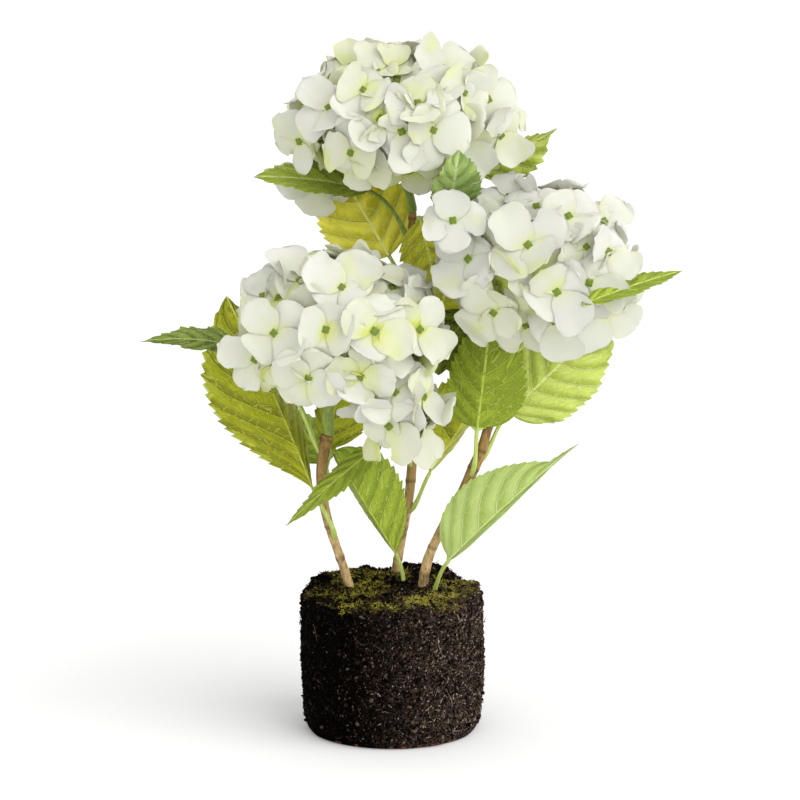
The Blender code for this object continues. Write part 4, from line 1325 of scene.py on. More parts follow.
        t = np.linspace(0, 1, self.PETAL_ROWS)
        a = 0.03 + 0.97 * (0.35 * t + 0.65 * np.sin(t * math.pi / 2))
        a[-1] = 0.998
        u = np.linspace(-1, 1, self.PETAL_COLUMNS)
        flat = np.sin(u * math.pi / 2) * 0.5 + u * 0.5
        b = np.concatenate([flat, flat[-2:0:-1]])
        side = np.repeat([1.0, -1.0], [self.PETAL_COLUMNS, self.PETAL_COLUMNS - 2])
        a3, b3, s3 = a[None, :, None], b[None, None], side[None, None]
        fold_depth, fold_width = self.PETAL_FOLD
        belly = petal.root / (petal.root + petal.end)
        outline = (a3 / belly) ** petal.root * ((1 - a3) / (1 - belly)) ** petal.end
        uneven = 1 + petal.wobble * (np.sin(7.5 * a3 + petal.wave + 1.7 * np.sign(b3))
                                        + 0.5 * np.sin(17.0 * a3 + 2 * petal.wave + 2.9 * np.sign(b3)))
        x = (petal.length * (a3 - 0.045 * np.abs(b3) ** 2.4 * outline
                                + 0.03 * np.sin(4.4 * b3 + 2 * petal.wave) * ease(a3, 0.55, 1.0))
             + petal.point * np.exp(-(b3 / 0.3) ** 2) * ease(a3, 0.75, 1.0))
        y = b3 * petal.half * outline * uneven + petal.skew * np.sin(math.pi * a3)
        z = (petal.cup * a3 ** 2 + petal.lift + petal.bend * (b3 * outline) ** 2 * a3
             + petal.lean * y * a3 + petal.ripple * a3 ** 1.5 * b3 ** 2 * np.sin(
                 6.5 * a3 + 2.6 * b3 + petal.wave)
             + petal.frill * a3 * b3 ** 4 * np.sin(15.0 * a3 + 5.0 * b3 + 3 * petal.wave)
             + petal.crease * np.cos(petal.creases * math.pi * b3 + petal.wave) * a3 * (1.25 - a3)
             + petal.margin * np.abs(b3) ** 3 * a3 * outline
             + petal.curl * ease(a3, 0.6, 1.0) - fold_depth * np.exp(-(b3 / fold_width) ** 2) * a3
             + s3 * self.PETAL_SHEET * np.sqrt(1 - b3 ** 2))
        rings = (hubs[owner][:, None, None] + radial[:, None, None] * x[..., None]
                 + aside[:, None, None] * y[..., None] + up[:, None, None] * z[..., None])

        am, bm = (a[:-1] + a[1:]) / 2, (b + np.roll(b, -1)) / 2
        am3, bm3 = am[None, :, None], np.abs(bm)[None, None]
        green = greens[owner][:, None, None]
        own = draw.uniform(0, 1, count * 4)[:, None, None] ** 1.6
        # deeper petals are greener and darker: partly the greener inner florets, partly painted shade in the
        # dome's depth
        sunk = np.min([1 - np.linalg.norm((rings[:, :-1] - centre) / axes, axis=-1)
                       for centre, axes in self.shells()], axis=0)
        spray = waves(rings[:, :-1].reshape(-1, 3), 13.0, self.seed).reshape(sunk.shape)
        tone = (0.42 * np.exp(-am3 / 0.14) + green * (0.22 * np.exp(-am3 / 0.5) + 0.14 * own) + 0.15 * own
                + 0.1 * own * ease(bm3, 0.6, 1.0) * am3 + self.cream + 0.4 * ease(sunk, 0.07, 0.24)
                + 0.24 * ease(spray, 0.15, 0.8))
        # florets that look away from the sun are greener and darker: partly their own colour, partly painted
        # shade
        shaded = 0.18 * ease(0.15 - facing @ self.SUN, 0.0, 0.9)
        tone = np.minimum(tone + shaded[owner][:, None, None], self.GREENEST)
        slots = np.clip((tone * len(PetalTint)).astype(int), 0, len(PetalTint) - 1)
        return loft(rings, slots)

    def buttons(self, florets: list[Floret]) -> Surface:
        """A four-lobed green button at each hub: r = R (1 + 0.2 cos 4t), domed by the cosine of its row.

        Args:
            florets: where each floret sits.

        Returns:
            The surface of all buttons, with the middles in the second finish.
        """
        hubs, facing, first, second = self.poses(florets)
        turn = circle(16)
        row = np.array([-0.5, 0.0, 0.25, 0.55, 0.85]) * math.pi / 2
        radius = self.BUTTON * np.cos(row)[:, None] * (1 + 0.2 * np.cos(4 * turn + math.pi))[None]
        height = 1.1 + 1.0 * np.sin(row)[:, None] + 0 * turn[None]
        scale = (0.86 + 0.32 * scramble(np.round(hubs * 7).astype(np.int64), 5))[:, None, None, None]
        rings = (hubs[:, None, None] + scale * (first[:, None, None] * (radius * np.cos(turn))[..., None]
                                                + second[:, None, None] * (radius * np.sin(turn))[..., None])
                 + facing[:, None, None] * height[..., None])
        slots = np.broadcast_to((np.arange(4) >= 2)[:, None], (len(florets), 4, 16)).astype(int)
        return loft(rings, slots)

    def branches(self, florets: list[Floret]) -> Surface:
        """Rays from the fork to a joint in each group of florets, and pedicels from there to the hubs.

        Args:
            florets: where each floret sits.

        Returns:
            The surface of all rays and pedicels.
        """
        fork = np.array(self.stem[-1][:3], float)
        height = 0.95 - 1.25 * (np.arange(self.RAYS) + 0.5) / self.RAYS
        ring = np.sqrt(1 - height ** 2)
        turn = np.arange(self.RAYS) * GOLDEN_ANGLE
        rays = np.stack([ring * np.cos(turn), ring * np.sin(turn), height], axis=-1)
        hubs, facing, _, _ = self.poses(florets)
        group = np.argmax(unit(hubs - fork) @ rays.T, axis=1)
        used = np.unique(group)
        joints = {int(k): fork + (hubs[group == k].mean(axis=0) - fork) * self.RAY_REACH for k in used}
        t = np.linspace(0, 1, 7)
        arms = np.stack([bezier((fork - (0, 0, 1), (fork + joint) / 2 - (0, 0, 2), joint), t)
                         for joint in joints.values()])
        arm_radii = np.broadcast_to(self.RAY - 0.4 * t, arms.shape[:2])
        twigs = np.stack([bezier((joints[int(k)], (joints[int(k)] + hub) / 2 - out * 4, hub + out * 0.6), t)
                          for k, hub, out in zip(group, hubs, facing)])
        twig_radii = np.broadcast_to(self.PEDICEL - 0.25 * t + 0.5 * ease(t, 0.8, 1.0), twigs.shape[:2])
        return tubes(arms, arm_radii, 8) + tubes(twigs, twig_radii, 6)

    def build(self, blocked: BVHTree, dressing: "Dressing") -> None:
        """Lays out the florets, leaves out fill ones that would touch another piece, and makes the pieces.

        Args:
            blocked: the solids of the pieces made before this bloom.
            dressing: the plant's materials.
        """
        outer, fronts = self.layout()
        kept = [floret for i, floret in enumerate(outer)
                if i < fronts or not self.outline_tree(floret).overlap(blocked)]
        lining = [floret for floret in self.lining(kept)
                  if not self.outline_tree(floret, 1.1).overlap(blocked)]
        left_out = len(outer) - len(kept)
        draw = np.random.default_rng(self.seed)
        kept += list(self.facing_eye(self.tucked))
        sunk = [entry[4] for entry in self.front] + [99.0] * (len(kept) - fronts)
        kept = [kept[i] for i in sorted(range(len(kept)), key=lambda i: (max(sunk[i], 0), i))]
        florets = kept + lining
        # the lining is greener: partly the greener inner florets, partly painted shade in the gaps between
        # the outer ones
        greens = np.concatenate([draw.beta(1.2, 2.6, len(kept)), draw.uniform(0.7, 1.3, len(lining))])
        log.info("%s: %d outer florets, %d left out, %d in the lining", self.name, len(kept), left_out,
                 len(lining))
        self.petals(florets, draw, greens).place(self.name + "_petals", dressing.petals, "petal", [self.name])
        self.buttons(florets).place(self.name + "_buttons", dressing.buttons, "leaf", [self.name])
        self.branches(florets).place(self.name + "_branches", [dressing.branch], "leaf", [self.name])
        route = self.stem_route()
        tubes(route[None, :, :3], route[None, :, 3], 28).place(self.name + "_stem", [dressing.stem], "leaf",
                                                               [self.name])


BLOOMS = (
    Bloom("bloom_left",
          cane="cane_left",
          stem=((-41, -12, 207, 3.9), (-39, -18, 222, 3.4), (-36, -30, 243, 2.8)),
          domes=(((-33, -40, 266), (67, 56, 47)), ((3, -52, 226), (27, 28, 31))),
          front=((-40, -1, 50, 25, 0), (-52, -17, 65, 24, 0), (-19, -29, 65, 27, 0), (2, 27, 55, 28, 0),
                 (-8, 1, 75, 27, 3), (22, 0, 55, 26, 0), (13, -28, 70, 25, 4), (35, -38, 45, 26, 0),
                 (31, -59, 40, 26, 0), (33, 27, 10, 24, 20), (-24, 31, 30, 25, 8), (50, 1, 40, 25, 4),
                 (-47, 22, 20, 25, 12)),
          seed=3, cream=0.04),
    Bloom("bloom_right",
          cane="cane_right",
          stem=((85, -11, 277, 2.8), (89, -16, 291, 2.6)),
          domes=(((91, -20, 305), (59, 54, 47)),),
          front=((-43, 3, 48, 28, 0), (-6, 12, 43, 28, 0), (12, -17, 35, 29, 0), (-27, -30, 50, 27, 0),
                 (32, -11, 78, 25, 4), (19, 30, 30, 24, 0), (-1, 36, 15, 24, 6), (44, 8, 50, 25, 0),
                 (11, -35, 15, 26, 5), (-53, 27, 10, 21, -44), (-18, 42, 5, 22, 4), (43, -31, -25, 32, 52),
                 (30, 11, 40, 25, 6)),
          seed=11, tucked=((41, 27, 20, 25, 10), (-7, -38, 30, 22, 9))),
    Bloom("bloom_top",
          cane="cane_middle",
          stem=((11, 19, 344, 2.8), (8, 17, 355, 2.7), (6, 13, 372, 2.6)),
          domes=(((6, 10, 392), (71, 62, 44)),),
          front=((-5, 33, 5, 21, 1), (-15, 30, 15, 25, 3), (-24, 19, 60, 25, 0), (-3, 25, 80, 25, 2),
                 (10, 11, 5, 27, 0), (20, -6, 65, 26, 0), (0, -7, 20, 26, 3), (39, -14, 45, 27, 6),
                 (-32, -20, 70, 28, 0), (-23, -29, 50, 20, 2), (26, -31, 15, 24, 24), (39, 17, 60, 27, 0),
                 (22, 20, 30, 25, 3), (-13, 1, 55, 24, 3), (-46, 8, 35, 25, 0), (-64, -13, 10, 22, 0),
                 (62, -9, 35, 22, 0), (54, 13, 20, 23, 0), (27, 32, 50, 24, 0), (-54, -39, 84, 26, 34)),
          seed=7, cream=0.07, tucked=((-33, 33, 25, 21, 7), (-44, 27, 70, 20, 9), (-40, -6, 20, 20, 9))),
)


def solid_points(name: str) -> NDArray[np.float32]:
    """The corners of a CAD node, in metres."""
    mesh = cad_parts[name].data
    spots = np.empty(len(mesh.vertices) * 3, np.float32)
    mesh.vertices.foreach_get("co", spots)
    return spots.reshape(-1, 3)


def solids_tree(names: Sequence[str]) -> BVHTree:
    """One search tree of the named CAD nodes, in metres.

    Args:
        names: the nodes.

    Returns:
        The tree over all their triangles.
    """
    points, faces, start = [], [], 0
    for name in names:
        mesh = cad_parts[name].data
        mesh.calc_loop_triangles()
        corners = np.empty(len(mesh.loop_triangles) * 3, np.int32)
        mesh.loop_triangles.foreach_get("vertices", corners)
        points.append(solid_points(name))
        faces.append(corners.reshape(-1, 3) + start)
        start += len(mesh.vertices)
    return BVHTree.FromPolygons(np.vstack(points).tolist(), np.vstack(faces).tolist())


# ---------------------------------------------------------------- root ball
@dataclass(frozen=True)
class RootBall:
    """A foam drum coated in peat, with grains, moss and dry fibres on it.

    patches: the moss's middles and half sizes. feet: where the stems stand.
    """

    radius: float = 58.2
    height: float = 91.0
    foot: float = 53.0
    edge: float = 5.5
    turns: int = 330
    rows: int = 165
    crumbs: int = 2600
    grit: int = 21000
    shreds: int = 9500
    sprigs: int = 10000
    fibres: int = 110
    patches: tuple[tuple[float, float, float, float], ...] = (
        (-22, -4, 20, 26), (-24, -42, 29, 11), (26, -33, 27, 19), (42, 12, 15, 22), (-46, -6, 12, 20),
        (-4, 30, 14, 12), (6, -47, 16, 7), (-30, 34, 14, 12),
    )
    feet: tuple[tuple[float, float], ...] = ((-27, 2), (1.5, 30), (19, 5), (25, -3), (9, 12))
    seed: int = 29

    BULGE = ((0.4, 66), (0.6, 48), (0.2, 30), (-0.4, 15), (-1.3, 7))  # out and height of the side, downwards
    LUMP_REACH = 4.5  # s in the weight of the solid's lumps
    GRAIN = 2.9  # mm from the coat's pits to its grains
    HEAP = 3.2
    FURROW = 1.3
    MOUND = 2.0  # soil heaped round each stem
    WORN = 1.4  # how far the right of the top is rubbed down
    FILM = 2.2  # height of the film round the foot
    SLOPE_STEP = 0.004  # share of the outline over which its slope is taken
    CRUMB = 0.85
    GRIT = 0.42
    CRUMB_MIX = (0.34, 0.42, 0.24, 0.0, 0.0)  # how common each crumb tint is
    GRIT_MIX = (0.25, 0.24, 0.33, 0.165, 0.015)
    SHRED_MIX = (0.16, 0.24, 0.38, 0.21, 0.01)
    FIBRE_MIX = (0.05, 0.25, 0.45, 0.2, 0.05)
    DRY_MOSS = 0.14

    def profile(self, t: Array) -> Array:
        """(radius, height) a share t down the outline: out along the top, down the side, in under the foot.

        The side bulges by a few tenths, the top's rim is a quarter circle and the foot's a slanted round.

        Args:
            t: shares of the outline, from the top's middle.

        Returns:
            Two numbers in mm for each share.
        """
        turn = np.radians([0, 15, 30, 45, 60, 75, 90])
        rim = np.stack([self.radius - self.edge + self.edge * np.sin(turn),
                        self.height - self.edge + self.edge * np.cos(turn)], -1)
        top = np.stack([np.linspace(0, self.radius - self.edge - 3, 8), np.full(8, self.height)], -1)
        side = np.array(self.BULGE) + (self.radius, 0)
        foot = np.array([(self.radius - 2.6, 3.4), (self.foot + 1.8, 0.9), (self.foot, 0), (26, 0), (0, 0)])
        outline = np.vstack([top, rim, side, foot])
        reach = np.concatenate([[0], np.cumsum(np.linalg.norm(np.diff(outline, axis=0), axis=1))])
        return np.stack([np.interp(t * reach[-1], reach, outline[:, k]) for k in (0, 1)], -1)

    def lumps(self, points: Array) -> tuple[Array, Array]:
        """How far the CAD solid's own lumps push a point out and up.

        Each of the solid's vertices knows how far it stands off the plain drum. A point takes their mean,
        weighted by exp(-d^2 / 2s^2) of its distance to each.

        Args:
            points: places on the plain drum.

        Returns:
            The push outwards, and the push upwards, in mm.
        """
        spots = np.unique(np.round(solid_points("root_ball").astype(float) / MM, 3), axis=0)
        reach = np.hypot(spots[:, 0], spots[:, 1])
        on_top = (spots[:, 2] > self.height - 5) & (reach < self.radius - self.edge + 1)
        on_side = (spots[:, 2] > 8) & (spots[:, 2] < self.height - 8) & (reach > self.radius - 6)
        bulge, level = np.array([*self.BULGE[::-1], (0, self.height - 6)]).T
        plain = np.interp(spots[:, 2], level, self.radius + bulge)
        pushes = []
        for near, gain, sizes in ((on_side, reach - plain, (1, 1, 0.6)),
                                  (on_top, spots[:, 2] - self.height, (1, 1, 0))):
            apart = (points[:, None] - spots[None, near]) * sizes
            weight = np.exp(-np.sum(apart ** 2, axis=-1) / (2 * self.LUMP_REACH ** 2)) + 1e-12
            pushes.append((weight @ gain[near]) / weight.sum(axis=1))
        return pushes[0], pushes[1]

    def surface(self, turn: Array, t: Array) -> tuple[Array, Array, Array]:
        """Points, outward directions and grain heights at turns and shares down the outline.

        The coat stands out by grains and clumps everywhere, by heaps on the top and mounds round the stems,
        and less where the rim is worn and in furrows down the side. It lies flat towards the foot.

        Args:
            turn: angles about the drum, in radians.
            t: shares down the outline.

        Returns:
            The coated surface's points in mm, the plain drum's normals and how far a point stands out.
        """
        outline = self.profile(t)
        step = self.SLOPE_STEP
        ahead = unit(self.profile(np.clip(t + step, 0, 1)) - self.profile(np.clip(t - step, 0, 1)))
        spoke = np.stack([np.cos(turn), np.sin(turn), 0 * turn], -1)
        normal = spoke * -ahead[:, 1:2] + UP * ahead[:, 0:1]
        plain = spoke * outline[:, 0:1] + UP * outline[:, 1:2]
        out, up = self.lumps(plain)
        high = ease(plain[:, 2], self.height - self.edge - 1, self.height - 1)
        shape = plain + spoke * (out * (1 - high))[:, None] + UP * (up * high)[:, None]
        grain = clods(shape, 3.4, 1) * 0.55 + clods(shape, 1.9, 4) * 0.45
        clump = waves(shape, 9.0, 2) * 0.55 + waves(shape, 4.5, 3) * 0.35
        free = ease(plain[:, 2], 0.4, 4.0)
        hollow = 1 + 0.9 * high
        heap = self.HEAP * clods(shape * (1, 1, 0), 15.0, 6) * ease(plain[:, 1], 0, 35) * high
        furrow = self.FURROW * ease(waves(shape * (1, 1, 0.2), 8.0, 15), 0.3, 0.75) * (1 - high)
        mound = sum(self.MOUND * np.exp(-((plain[:, :2] - foot) ** 2).sum(axis=-1) / 50)
                    for foot in self.feet)
        worn = self.WORN * ease(plain[:, 0], 38, 57) * high
        edge = 1 + 0.8 * ease(plain[:, 2], self.height - 14, self.height - self.edge)
        stand = ((grain - 0.82) * self.GRAIN + clump * hollow * edge + heap - furrow
                 + (mound - worn) * high) * free
        return shape + normal * stand[:, None], normal, grain

    def mossy(self, points: Array) -> Array:
        """How far inside a moss patch each point is: above 0 within one, with a wandering edge.

        Args:
            points: places in mm.

        Returns:
            One value for each point, from -1.5.
        """
        x, y, z = points.T
        patch = np.max([1 - ((x - px) / rx) ** 2 - ((y - py) / ry) ** 2
                        for px, py, rx, ry in self.patches], axis=0)
        patch = np.maximum(patch, -1.5) + 0.9 * waves(points, 9.0, 8) + 0.9 * waves(points, 4.0, 9)
        return np.where(z + 2.4 * waves(points, 4.0, 12) > self.height - 2.6, patch, -1.5)

    def scatter(self, draw: Draw, count: int, low: float, high: float) -> tuple[Array, Array]:
        """Random turns and shares down the outline, as dense per area near the middle as at the rim.

        Args:
            draw: the random numbers.
            count: how many at most.
            low: the least share.
            high: the greatest share.

        Returns:
            The turns in radians, and the shares.
        """
        t = draw.uniform(low, high, count * 3)
        radius = self.profile(t)[:, 0]
        keep = draw.uniform(0, self.radius + 1, count * 3) < radius
        t = t[keep][:count]
        return draw.uniform(0, 2 * math.pi, len(t)), t

    def sow(self, draw: Draw, count: int, low: float, high: float) -> tuple[Array, Array]:
        """Random spots on the coat between two shares down the outline, and the outward directions there."""
        points, normal, _ = self.surface(*self.scatter(draw, count, low, high))
        return points, normal

    @staticmethod
    def sunny(points: Array) -> Array:
        """How far towards the lit side a point is, in mm, for painted light and shade: that side faces right
        and a little forwards.
        """
        return points[..., 0] - 0.4 * points[..., 1]

    def build_coat(self, dressing: "Dressing") -> None:
        """The drum's skin: its outline carried round, with lumps, clods and grains, on a flat underside.

        Args:
            dressing: the plant's materials.
        """
        t = np.concatenate([[0.0], np.linspace(0.012, 0.72, self.rows), [0.73, 0.76, 0.84, 0.93, 1.0]])
        grid_turn, grid_t = np.meshgrid(circle(self.turns), t)
        points, _, grain = self.surface(grid_turn.ravel(), grid_t.ravel())
        rings = points.reshape(len(t), self.turns, 3)
        values = {"grain": grain.reshape(rings.shape[:2]),
                  "moss": ease(self.mossy(points), -0.1, 0.8).reshape(rings.shape[:2]),
                  # painted light and shade: the coat lightens towards the right side, where the light falls
                  "damp": ease(self.sunny(points), -25, 75).reshape(rings.shape[:2])}
        rings[-1, :, :2] *= 0.02
        rings[0] = rings[0].mean(axis=0) + (rings[1] - rings[1].mean(axis=0)) * 0.15
        low = rings[:-1, :, 2] < self.FILM
        loft(rings, low.astype(int), **values).place("root_ball_coat", [dressing.soil, dressing.film], "soil",
                                                     ["root_ball"], sharp=180.0)

    def grains(self, count: int, mean: float, corners: Array, faces: Array, seed: int,
               tints: Sequence[float]) -> Surface:
        """Small stones on the coat: a round form with few corners, stretched and turned at random, half sunk.

        Args:
            count: how many.
            mean: their usual radius in mm.
            corners: the form's corners, 1 from its middle.
            faces: its triangles.
            seed: where the random numbers start.
            tints: how common each tint is.

        Returns:
            The surface of all the grains.
        """
        draw = np.random.default_rng(seed)
        points, normal = self.sow(draw, count, 0.02, 0.71)
        count = len(points)
        size = (draw.gamma(6.0, 1 / 6.0, count) * mean).clip(mean * 0.45, mean * 2.0)
        axes = np.linalg.qr(draw.normal(size=(count, 3, 3)))[0]
        axes *= np.sign(np.linalg.det(axes))[:, None, None]
        stretch = size[:, None] * draw.uniform(0.55, 1.4, (count, 3))
        jitter = 1 + draw.normal(0, 0.15, (count, len(corners), 1))
        stones = np.einsum("nij,nkj->nki", axes, corners[None] * jitter * stretch[:, None])
        stones += (points + normal * (size * draw.uniform(-0.2, 0.5, count))[:, None])[:, None]
        stones[..., 2] = np.maximum(stones[..., 2], 0.05)
        # painted shade: grains darker towards the left side
        dealt = self.paint_side_shade(draw.choice(len(CrumbTint), count, p=tints), points, draw)
        number = faces[None] + (np.arange(count) * len(corners))[:, None, None]
        return Surface(stones, [number], [np.repeat(dealt[:, None], len(faces), axis=1)])

    def paint_side_shade(self, dealt: Array, points: Array, draw: Draw) -> Array:
        """Paints shade on the left: turns tints to black or peat there, fewer towards the lit right side, and
        dulls the palest on the shaded side.

        Args:
            dealt: a tint number for each point.
            points: their places in mm.
            draw: the random numbers.

        Returns:
            The new tint numbers.
        """
        sunny = self.sunny(points)
        damp = draw.uniform(0, 1, len(points)) > 0.05 + 0.95 * ease(sunny, -32, 64)
        dulled_in_shade = draw.uniform(0, 1, len(points)) > ease(sunny, -20, 55)
        peat = draw.uniform(0, 1, len(points)) < 0.25
        dealt = np.where(dulled_in_shade, np.minimum(dealt, 2), dealt)
        return np.where(damp, np.minimum(dealt, peat.astype(int)), dealt)

    def build_shreds(self, dressing: "Dressing") -> None:
        """Short bent shreds of peat all over, three-sided and thin, whose ends dip into the coat.

        Args:
            dressing: the plant's materials.
        """
        draw = np.random.default_rng(self.seed + 4)
        points, normal = self.sow(draw, self.shreds, 0.03, 0.71)
        count = len(points)
        run = square_to(draw.normal(size=(count, 3)) + (0, 0, 0.3), normal)
        length = draw.gamma(5.0, 0.19, count)[:, None]
        bow = draw.normal(0, 0.45, (count, 3)) * length
        crest = points + normal * draw.uniform(0.3, 1.0, (count, 1))
        sunk = points + bow - normal * 0.2
        route = np.stack([sunk - run * length, crest, sunk + run * length], axis=1)
        route[..., 2] = np.maximum(route[..., 2], 0.3)
        radii = np.array([0.13, 0.29, 0.13])[None] * draw.uniform(0.5, 1.5, (count, 1))
        # painted shade: shreds darker towards the left side
        dealt = self.paint_side_shade(draw.choice(len(CrumbTint), count, p=self.SHRED_MIX), points, draw)
        tubes(route, radii, 3, dealt).place("root_ball_shreds", dressing.crumbs, "soil", ["root_ball"], 40.0)

    def build_crumbs(self, dressing: "Dressing") -> None:
        """Coarse twelve-cornered grains, and fine six-cornered ones between them.

        Args:
            dressing: the plant's materials.
        """
        golden = (1 + math.sqrt(5)) / 2
        flat = [(a, b * golden, 0) for b in (1, -1) for a in (-1, 1)]
        twelve = unit(np.concatenate([np.roll(flat, k, axis=1) for k in range(3)]))
        twenty = np.array([(0, 11, 5), (0, 5, 1), (0, 1, 7), (0, 7, 10), (0, 10, 11), (1, 5, 9), (5, 11, 4),
                           (11, 10, 2), (10, 7, 6), (7, 1, 8), (3, 9, 4), (3, 4, 2), (3, 2, 6), (3, 6, 8),
                           (3, 8, 9), (4, 9, 5), (2, 4, 11), (6, 2, 10), (8, 6, 7), (9, 8, 1)])
        six = np.stack([np.eye(3), -np.eye(3)], axis=1).reshape(6, 3)
        eight = np.array([(0, 2, 4), (2, 1, 4), (1, 3, 4), (3, 0, 4), (2, 0, 5), (1, 2, 5), (3, 1, 5),
                          (0, 3, 5)])
        coarse = self.grains(self.crumbs, self.CRUMB, twelve, twenty, self.seed, self.CRUMB_MIX)
        coarse.place("root_ball_crumbs", dressing.crumbs, "soil", ["root_ball"], 30.0)
        fine = self.grains(self.grit, self.GRIT, six, eight, self.seed + 7, self.GRIT_MIX)
        fine.place("root_ball_grit", dressing.crumbs, "soil", ["root_ball"], 30.0)

    def build_moss(self, dressing: "Dressing") -> None:
        """Sprigs of moss in patches on the top: three-sided needles that lie over each other and taper.

        Args:
            dressing: the plant's materials.
        """
        draw = np.random.default_rng(self.seed + 1)
        points, normal = self.sow(draw, self.sprigs * 2, 0.0, 0.32)
        patch = self.mossy(points)
        keep = patch + draw.normal(0, 0.3, len(points)) > 0.0
        points, normal = points[keep][:self.sprigs], normal[keep][:self.sprigs]
        count = len(points)
        lean = unit(normal * 0.2 + draw.normal(0, 0.75, (count, 3)) * (1, 1, 0.4))
        length = draw.gamma(5.0, 0.5, count)[:, None]
        droop = unit(lean + draw.normal(0, 0.9, (count, 3)) - (0, 0, 0.3))
        route = np.stack([points - lean * 0.5, points + lean * length * 0.45,
                          points + lean * length * 0.6 + droop * length * 0.4], axis=1)
        radii = np.array([0.15, 0.13, 0.05])[None] * draw.uniform(0.7, 1.4, (count, 1))
        rim = ease(np.hypot(points[:, 0], points[:, 1]), 46, 58)
        bright = ease(patch[keep][:count] - 0.6 * rim + draw.normal(0, 0.45, count), -0.3, 1.5)
        tints = np.clip(bright * 4.2, 0, 3).astype(int)
        tints = np.where(draw.uniform(0, 1, count) < self.DRY_MOSS, len(MossTint) - 1, tints)
        tubes(route, radii, 3, tints).place("root_ball_moss", dressing.moss, "leaf", ["root_ball"], 40.0)

    def build_fibres(self, dressing: "Dressing") -> None:
        """Dry fibres and bark threads that lie on the top and cling to the side, as thin bent tubes.

        Args:
            dressing: the plant's materials.
        """
        draw = np.random.default_rng(self.seed + 2)
        points, normal = self.sow(draw, self.fibres, 0.02, 0.6)
        count = len(points)
        run = square_to(draw.normal(size=(count, 3)), normal)
        length = draw.gamma(5.0, 1.3, count)[:, None]
        share = np.linspace(-1, 1, 7)
        bow = draw.normal(0, 0.5, (count, 1, 3)) * length[:, None]
        square = (share ** 2)[None, :, None]
        route = (points + normal * 0.9)[:, None] + (run * length)[:, None] * share[None, :, None]
        route = route + bow * square * 0.5 - normal[:, None] * square * 0.8
        taper = np.array([0.05, 0.12, 0.15, 0.16, 0.15, 0.12, 0.05])
        radii = taper[None] * draw.uniform(0.7, 1.4, (count, 1))
        # painted shade: fibres darker towards the left side
        tints = self.paint_side_shade(draw.choice(len(CrumbTint), count, p=self.FIBRE_MIX), points, draw)
        tubes(route, radii, 5, tints).place("root_ball_fibres", dressing.crumbs, "cane", ["root_ball"], 60.0)

    def build(self, dressing: "Dressing") -> None:
        """Makes the coat and all that lies on it.

        Args:
            dressing: the plant's materials.
        """
        self.build_coat(dressing)
        self.build_crumbs(dressing)
        self.build_shreds(dressing)
        self.build_moss(dressing)
        self.build_fibres(dressing)


# ---------------------------------------------------------------- materials of the whole plant
class Dressing:
    """The plant's materials, each made once."""

    def __init__(self) -> None:
        """Builds every finish."""
        self.petals = self.tinted("petal", PetalTint, 0.8, 0.08, 0.3, 1.1)
        self.buttons = [PlainFinish("button_olive", paint(146, 170, 62), 0.6).build(),
                        PlainFinish("button_middle", paint(106, 126, 34), 0.6).build()]
        self.branch = PlainFinish("branch_green", paint(150, 172, 84), 0.5).build()
        self.stem = StemFinish("stem_green", paint(112, 134, 44), paint(150, 168, 74)).build()
        self.stalk = StemFinish("stalk_green", paint(168, 190, 82), paint(198, 212, 122)).build()
        self.bark = BarkFinish("bark", paint(228, 198, 142), paint(150, 118, 52), paint(168, 134, 86),
                               paint(96, 64, 30)).build()
        self.soil = SoilFinish("peat", paint(4, 3, 2), paint(70, 57, 48), paint(150, 134, 120),
                               paint(70, 70, 18)).build()
        self.film = PlainFinish("rusty_film", paint(98, 54, 32), 0.7).build()
        self.crumbs = self.tinted("crumb", CrumbTint, 0.8, 0.03)
        self.moss = self.tinted("moss", MossTint, 0.8, 0.2)
        calm = {"net_share": 0.26, "emboss": 0.5, "vein_shade": 0.8}
        soft = {"net_share": 0.34, "emboss": 0.7, "vein_shade": 0.95}
        changes = {Green.LIGHT: calm, Green.PALE: calm, Green.BLUE: soft, Green.BRIGHT: soft,
                   Green.GOLD: soft}
        self.leaves = {green: green.finish("leaf_" + green.name.lower(), **changes.get(green, {})).build()
                       for green in Green}

    @staticmethod
    def tinted(kind: str, tints: type[Enum], *qualities: float) -> list[Material]:
        """A plain finish in each tint, with the qualities in PlainFinish's order."""
        return [PlainFinish(f"{kind}_{tint.name.lower()}", paint(*tint.value), *qualities).build()
                for tint in tints]


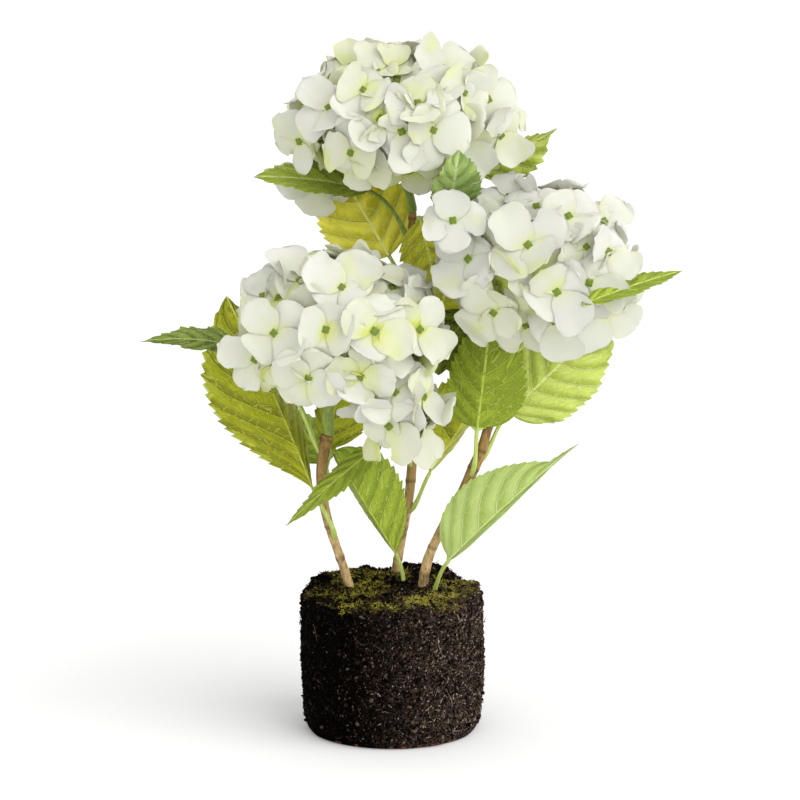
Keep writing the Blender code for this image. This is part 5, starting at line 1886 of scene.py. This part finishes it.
# ---------------------------------------------------------------- studio
@dataclass(frozen=True)
class Studio:
    """A pale floor, soft light from the right and above, and the camera.

    key and fill: power, degrees above the floor, degrees from the front round to the right, and spread.
    """

    lens: float = 144.0
    sensor: float = 36.0
    pitch: float = 10.9
    floor_size: float = 60.0
    sky_power: float = 0.84
    key: tuple[float, float, float, float] = (1.8, 36.0, 54.0, 64.0)
    fill: tuple[float, float, float, float] = (0.45, 10.0, -8.0, 70.0)

    def build(self) -> None:
        """Makes the floor, the sky, the lamps and the camera."""
        scene = bpy.context.scene
        scene.view_settings.view_transform = "Standard"
        mesh = bpy.data.meshes.new("floor")
        corner = self.floor_size / 2
        signs = ((-1, -1), (1, -1), (1, 1), (-1, 1))
        mesh.from_pydata([(x * corner, y * corner, 0) for x, y in signs], [], [(0, 1, 2, 3)])
        mesh.materials.append(PlainFinish("floor_white", (0.96, 0.96, 0.96), 0.9, 0.1).build())
        floor = put("floor", mesh)
        floor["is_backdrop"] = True
        world = bpy.data.worlds.new("sky")
        world.use_nodes = True
        sky = world.node_tree.nodes["Background"].inputs
        sky["Color"].default_value = (1.0, 1.0, 1.0, 1.0)
        sky["Strength"].default_value = self.sky_power
        scene.world = world
        self.sun("key", *self.key)
        self.sun("fill", *self.fill)
        camera = bpy.data.cameras.new("camera")
        camera.lens = self.lens
        camera.sensor_width = self.sensor
        camera.clip_start, camera.clip_end = 0.05, 100.0
        made = put("camera", camera)
        made.location = EYE * MM
        made.rotation_euler = (math.radians(90 - self.pitch), 0, 0)
        scene.camera = made

    def sun(self, name: str, power: float, height: float, turn: float, spread: float) -> None:
        """A broad soft light, the same all over the floor.

        Args:
            name: the light's name.
            power: its strength.
            height: degrees above the floor.
            turn: degrees from the front round to the right.
            spread: how wide it is seen, in degrees.
        """
        light = bpy.data.lights.new(name, "SUN")
        light.angle = math.radians(spread)
        light.energy = power
        put(name, light).rotation_euler = (math.radians(90 - height), 0, math.radians(turn))


def corners(box: tuple[Sequence[float], Sequence[float]]) -> list[list[float]]:
    """A box's two corners as plain lists."""
    return [[float(number) for number in corner] for corner in box]


def main() -> None:
    """Builds the plant's parts in order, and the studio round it."""
    logging.basicConfig(level=logging.INFO, format="%(message)s")
    cad_box = corners(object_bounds())
    dressing = Dressing()
    RootBall().build(dressing)
    for cane in CANES:
        cane.build(dressing.bark)
    for leaf in LEAVES:
        leaf.build(dressing.leaves, (dressing.stalk, dressing.stem))
    before = [piece.name for piece in (*CANES, *LEAVES)]
    for bloom in BLOOMS:
        bloom.build(solids_tree(before), dressing)
        before.append(bloom.name)
    Studio().build()
    {"cad": cad_box, "visual": corners(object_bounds())}


if __name__ == "__main__":
    main()
